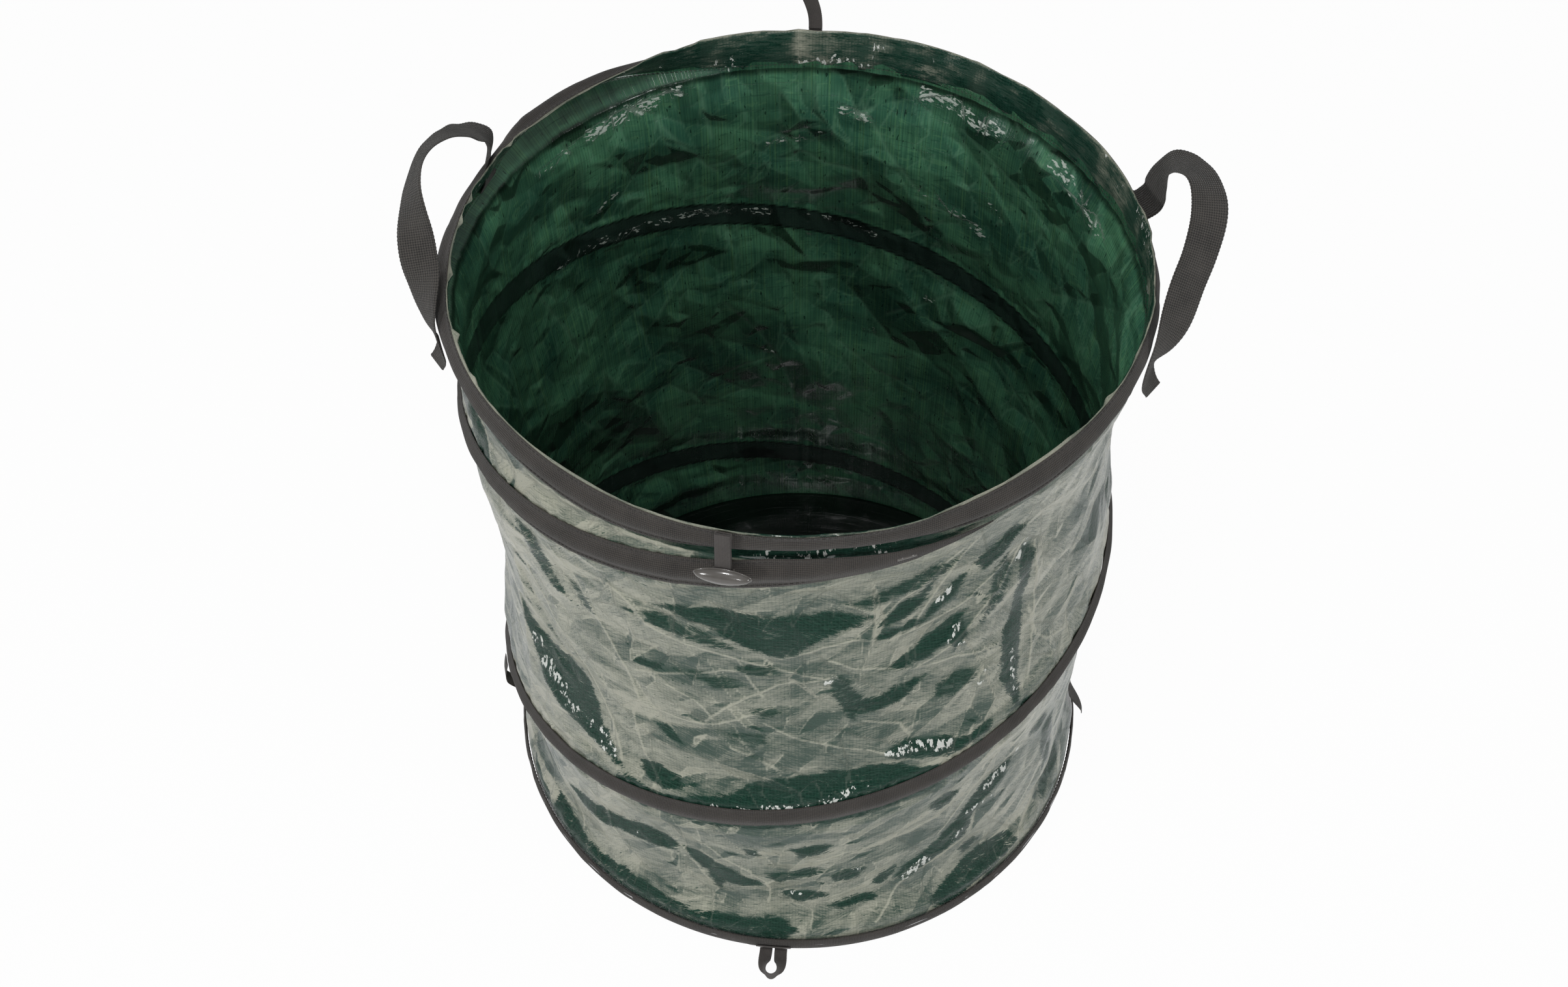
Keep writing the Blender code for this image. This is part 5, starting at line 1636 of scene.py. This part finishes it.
# %% Toggles
TOGGLE_LENGTH = 0.0435
TOGGLE_WIDTH = 0.0165
TOGGLE_DOME = 0.0058
TOGGLE_FLANGE = 0.0010
TOGGLE_STEP = 0.0009
TOGGLE_TAPER = 0.16
TOGGLE_BACK = -EYE - TAPE / 2 - 0.0005
LUG = 0.0016
LUG_HEIGHT = 0.0044
BAR_SIDES = 12
BLOCK_FACES = ((0, 1, 3, 2), (4, 6, 7, 5), (0, 4, 5, 1), (2, 3, 7, 6), (0, 2, 6, 4), (1, 5, 7, 3))


def circle(count, radius=1.0):
    """So many places round a circle."""
    angles = [2 * math.pi * n / count for n in range(count)]
    return [(radius * math.cos(angle), radius * math.sin(angle)) for angle in angles]


def toggle_piece(which):
    """A toggle: its lens, two lugs, two small tabs and its bar, as one mesh."""
    dome_half, flange_half = TOGGLE_LENGTH / 2 - TOGGLE_STEP, TOGGLE_LENGTH / 2
    dome_wide, flange_wide = TOGGLE_WIDTH / 2 - TOGGLE_STEP, TOGGLE_WIDTH / 2
    profile = []
    for n in range(1, 17):
        angle = math.pi / 2 * n / 16
        bow, rise = math.sin(angle), TOGGLE_FLANGE + TOGGLE_DOME * math.cos(angle)
        profile.append((bow * dome_half, bow * dome_wide, rise))
    rounding = TOGGLE_FLANGE / 2
    for n in range(9):
        turn = math.pi * n / 8
        grow, rise = rounding * math.sin(turn), rounding * (1 + math.cos(turn))
        profile.append((flange_half - rounding + grow, flange_wide - rounding + grow, rise))
    for n in range(1, 6):
        profile.append((flange_half * (1 - n / 6), flange_wide * (1 - n / 6), 0.0))
    count = 72
    points, faces = [(0, TOGGLE_BACK - TOGGLE_FLANGE - TOGGLE_DOME, 0)], []
    for half_long, half_wide, rise in profile:
        for cosine, sine in circle(count):
            narrow = 1 - TOGGLE_TAPER * cosine**2
            points.append((half_long * cosine, TOGGLE_BACK - rise, half_wide * sine * narrow))
    points.append((0, TOGGLE_BACK, 0))
    for k in range(count):
        following = (k + 1) % count
        faces.append((0, 1 + k, 1 + following))
        for n in range(len(profile) - 1):
            first, second = 1 + n * count, 1 + (n + 1) * count
            faces.append((first + k, second + k, second + following, first + following))
        last = 1 + (len(profile) - 1) * count
        faces.append((last + k, len(points) - 1, last + following))
    lug_place = STRAP_WIDTH / 2 + 0.0005 + LUG / 2

    def block(x0, x1, y0, y1, z0, z1):
        start = len(points)
        points.extend([(x, y, z) for x in (x0, x1) for y in (y0, y1) for z in (z0, z1)])
        faces.extend(tuple(start + n for n in quad) for quad in BLOCK_FACES)

    for side in (-1, 1):
        middle, high = side * lug_place, LUG_HEIGHT / 2
        block(middle - LUG / 2, middle + LUG / 2, TOGGLE_BACK - 0.0003, high, -high, high)
        tab, foot = side * 0.0085 + 0.0015, -TOGGLE_WIDTH / 2 + 0.0004
        near, far = TOGGLE_BACK - 0.0009, TOGGLE_BACK - 0.0001
        block(tab - 0.0018, tab + 0.0018, near, far, foot - 0.0010, foot + 0.0012)
    first = len(points)
    second = first + BAR_SIDES
    for x in (-lug_place, lug_place):
        points.extend((x, y, z) for y, z in circle(BAR_SIDES, BAR / 2))
    for k in range(BAR_SIDES):
        following = (k + 1) % BAR_SIDES
        faces.append((first + k, first + following, second + following, second + k))
    faces.append(tuple(range(first, second))[::-1])
    faces.append(tuple(range(second, second + BAR_SIDES)))
    mesh = bpy.data.meshes.new(f"{which}_toggle_lens")
    mesh.from_pydata(points, [], faces)
    mesh.materials.append(plastic)
    bar = strap_point(which, Vector((0, BAR_DEPTH, -STRAP_LENGTH)))
    mesh.transform(strap_seat(which) @ Matrix.Translation(bar) @ strap_turn(which, 1).to_4x4())
    tidy = bmesh.new()
    tidy.from_mesh(mesh)
    bmesh.ops.recalc_face_normals(tidy, faces=tidy.faces)
    tidy.to_mesh(mesh)
    tidy.free()
    mesh.shade_smooth()
    mesh.set_sharp_from_angle(angle=math.radians(50))
    made = in_scene(f"{which}_toggle_lens", mesh)
    dress(made, f"{which}_toggle", [f"{which}_toggle"])


for which in STRAPS:
    toggle_piece(which)

# %% [markdown]
# A flat loop of tape leaves the foot at the front and at the back. Its ends are sewn on the
# foot's tape and lie flat there, and the loop turns on edge towards its tip.

# %% Loops at the foot
LOOPS = {"front": -4.8, "back": 177.0}
LOOP_WIDTH = 0.012
LOOP_HALF_SPREAD = 0.0105
LOOP_ROOT = 0.0070
LOOP_BOW = 0.0030
LOOP_INWARD = 0.0045
LOOP_REACH = 0.0275
LOOP_END = 0.010


def foot_loop(which):
    """A loop of tape at the foot, and its ends, which are sewn on as one piece."""
    azimuth = LOOPS[which]
    line, sides = [], []
    for share in np.linspace(0, 1, 120):
        angle = math.pi * share
        twist = float(ease(min(share, 1 - share) / 0.34)) * math.pi / 2
        end = 1 if share < 0.5 else -1
        height = LOOP_WIDTH / 2 * math.sin(twist)
        bow = LOOP_ROOT + LOOP_BOW * math.sin(angle)
        line.append((-bow * math.cos(angle), -LOOP_REACH * math.sin(angle) ** 0.8, height))
        sides.append((end * math.cos(twist), 0, math.sin(twist)))
    line = [(-LOOP_ROOT, LOOP_INWARD, 0.0), *line, (LOOP_ROOT, LOOP_INWARD, 0.0)]
    sides = [(1, 0, 0), *sides, (-1, 0, 0)]
    seat = place(azimuth, SEAT + TAPE + GAP + TAPE / 2, GAP + TAPE / 2 + 0.0004)
    line, sides = resample(rotated(line, azimuth) + seat, rotated(sides, azimuth), 0.0004)
    name = f"{which}_loop"
    made = ribbon(name + "_tape", line, sides, LOOP_WIDTH, TAPE, strap_tape, *STRAP_WEAVE)
    dress(made, name, [name])
    half = math.degrees((LOOP_HALF_SPREAD + LOOP_WIDTH / 2) / SEAT)
    spread = azimuth + np.linspace(-half, half, 40)[None, :]
    up = np.linspace(0.0012, 0.001 + LOOP_END, 12)[:, None]
    reach = BAG_RADIUS + 0.0019 + hump(up - BASE_BAND / 2)
    front, back = place(spread, reach, up), place(spread, reach - TAPE, up)
    run = np.linspace(0, 2 * LOOP_HALF_SPREAD + LOOP_WIDTH, 40)
    root = sheet_mesh(name + "_root", front, back, run, up[:, 0], [strap_tape])
    dress(root, "base", [name + "_end"])


for which in LOOPS:
    foot_loop(which)

# %% [markdown]
# The coil's tape has two loose places. On the left a folded end bulges from the band and
# comes back to the wall below it. On the right the tape's end hangs free and tapers.

# %% Loose ends of the coil's tape
SPLICE_AZIMUTH = -78.0
TAIL_AZIMUTH = 84.0
TAIL_TOP = 0.075
SOLID_WAIST = 0.011


def loose_end(name, node, azimuth, reach, height, width):
    """A short ribbon of the coil's tape, given by its reach and height along its length."""
    line = rotated(np.stack([np.zeros(len(reach)), -reach, height], 1), azimuth)
    sides = np.tile(rotated([(1, 0, 0)], azimuth), (len(reach), 1))
    made = ribbon(name, line, sides, width, TAPE, band_tape, 8, 0.006, 0.0022)
    dress(made, "base", [node])
    flatten(made)


share = np.linspace(0, 1, 60)
splice_rise = 0.160 - 0.046 * share
splice_waist = SOLID_WAIST * wall_waist(SPLICE_AZIMUTH, splice_rise)
splice_reach = SEAT + TAPE / 2 + 0.0035 * np.sin(np.pi * share)
splice_reach = splice_reach - (SEAT - BAG_RADIUS - GAP + splice_waist) * ease(2 * share - 1)
splice_width = np.full(len(share), 0.016)
loose_end(
    "coil_splice", "coil_tape_splice", SPLICE_AZIMUTH, splice_reach, splice_rise, splice_width
)
tail_rise, tail_width = TAIL_TOP - 0.050 * share, 0.020 - 0.016 * share**2
tail_waist = SOLID_WAIST * wall_waist(TAIL_AZIMUTH, TAIL_TOP)
tail_reach = BAG_RADIUS - tail_waist + GAP + TAPE / 2 + (0.010 + tail_waist) * ease(share)
loose_end("coil_tail", "coil_tape_tail", TAIL_AZIMUTH, tail_reach, tail_rise, tail_width)

# %% [markdown]
# All the tape is sewn down with a lock stitch. A stitch line is a curve laid on the tape,
# and Geometry Nodes put one small stitch on it at every pitch, turned along the line. The
# tree's inputs are the pitch, length and thickness of a stitch, a seed and the thread.

# %% Stitches with Geometry Nodes
STITCH_PITCH = 0.0042
STITCH_LENGTH = 0.0031
STITCH_THICK = 0.00055
STITCH_INPUTS = {
    "Pitch": ("NodeSocketFloat", STITCH_PITCH),
    "Length": ("NodeSocketFloat", STITCH_LENGTH),
    "Thickness": ("NodeSocketFloat", STITCH_THICK),
    "Seed": ("NodeSocketInt", 3),
    "Material": ("NodeSocketMaterial", thread),
}


def stitch_tree():
    """Nodes that turn the edges of a mesh into a row of stitches."""
    tree = bpy.data.node_groups.new("stitch_row", "GeometryNodeTree")
    for side in ("INPUT", "OUTPUT"):
        tree.interface.new_socket("Geometry", in_out=side, socket_type="NodeSocketGeometry")
    for name, (kind, value) in STITCH_INPUTS.items():
        socket = tree.interface.new_socket(name, in_out="INPUT", socket_type=kind)
        socket.default_value = value
    source = tree.nodes.new("NodeGroupInput").outputs
    output = tree.nodes.new("NodeGroupOutput")
    curve = add_node(tree, "GeometryNodeMeshToCurve", {"Mesh": source["Geometry"]})
    inputs = {"Curve": curve.outputs[0], "Length": source["Pitch"]}
    points = add_node(tree, "GeometryNodeCurveToPoints", inputs, mode="LENGTH")
    bead = add_node(tree, "GeometryNodeMeshUVSphere", {"Segments": 8, "Rings": 5, "Radius": 0.5})
    uneven = add_node(tree, "FunctionNodeRandomValue", {"Seed": source["Seed"]}, data_type="FLOAT")
    uneven.inputs[2].default_value = 0.85
    uneven.inputs[3].default_value = 1.15
    length = maths(tree, "MULTIPLY", source["Length"], uneven.outputs[1])
    inputs = {"X": source["Thickness"], "Y": source["Thickness"], "Z": length}
    size = add_node(tree, "ShaderNodeCombineXYZ", inputs)
    inputs = {
        "Points": points.outputs["Points"],
        "Instance": bead.outputs["Mesh"],
        "Rotation": points.outputs["Rotation"],
        "Scale": size.outputs[0],
    }
    placed = add_node(tree, "GeometryNodeInstanceOnPoints", inputs)
    real = add_node(tree, "GeometryNodeRealizeInstances", {"Geometry": placed.outputs[0]})
    inputs = {"Geometry": real.outputs[0], "Material": source["Material"]}
    painted = add_node(tree, "GeometryNodeSetMaterial", inputs)
    tree.links.new(painted.outputs[0], output.inputs["Geometry"])
    return tree


stitch_rows = stitch_tree()


def stitches(name, lines, body):
    """One mesh of all the stitches along some lines of points."""
    points, edges = [], []
    for line in lines:
        start = len(points)
        points += [tuple(p) for p in line]
        edges += [(start + n, start + n + 1) for n in range(len(line) - 1)]
    mesh = bpy.data.meshes.new(name + "_line")
    mesh.from_pydata(points, edges, [])
    guide = in_scene(name + "_line", mesh)
    sewing = guide.modifiers.new("stitches", "NODES")
    sewing.node_group = stitch_rows
    for item in stitch_rows.interface.items_tree:
        if item.name in STITCH_INPUTS:
            sewing[item.identifier] = STITCH_INPUTS[item.name][1]
    bpy.context.view_layer.update()
    depsgraph = bpy.context.evaluated_depsgraph_get()
    plain = bpy.data.meshes.new_from_object(guide.evaluated_get(depsgraph), depsgraph=depsgraph)
    bpy.data.objects.remove(guide)
    plain.name = name
    plain.shade_smooth()
    made = in_scene(name, plain)
    dress(made, body, [])
    return made


SEAM_IN = 0.0028
SEAM_PROUD = 0.0010
around = np.append(ring_azimuths, ring_azimuths[0] + 360)
rim_rows = [on_rim(around, down, SEAM_PROUD) for down in (SEAM_IN, RIM_BAND - SEAM_IN)]
rim_rows.append(on_rim(around, HEM_HEIGHT - 0.004, -0.0032))
stitches("rim_stitches", rim_rows, "rim")
stitches("base_stitches", [on_wall(around, BASE_TAPE - SEAM_IN, SEAM_PROUD)], "base")
coil_edges = (shown_high - SEAM_IN, shown_low + SEAM_IN)
coil_rows = [on_wall(shown_azimuths, edge, SEAM_PROUD)[20:-20] for edge in coil_edges]
flatten(stitches("coil_stitches", coil_rows, "base"))
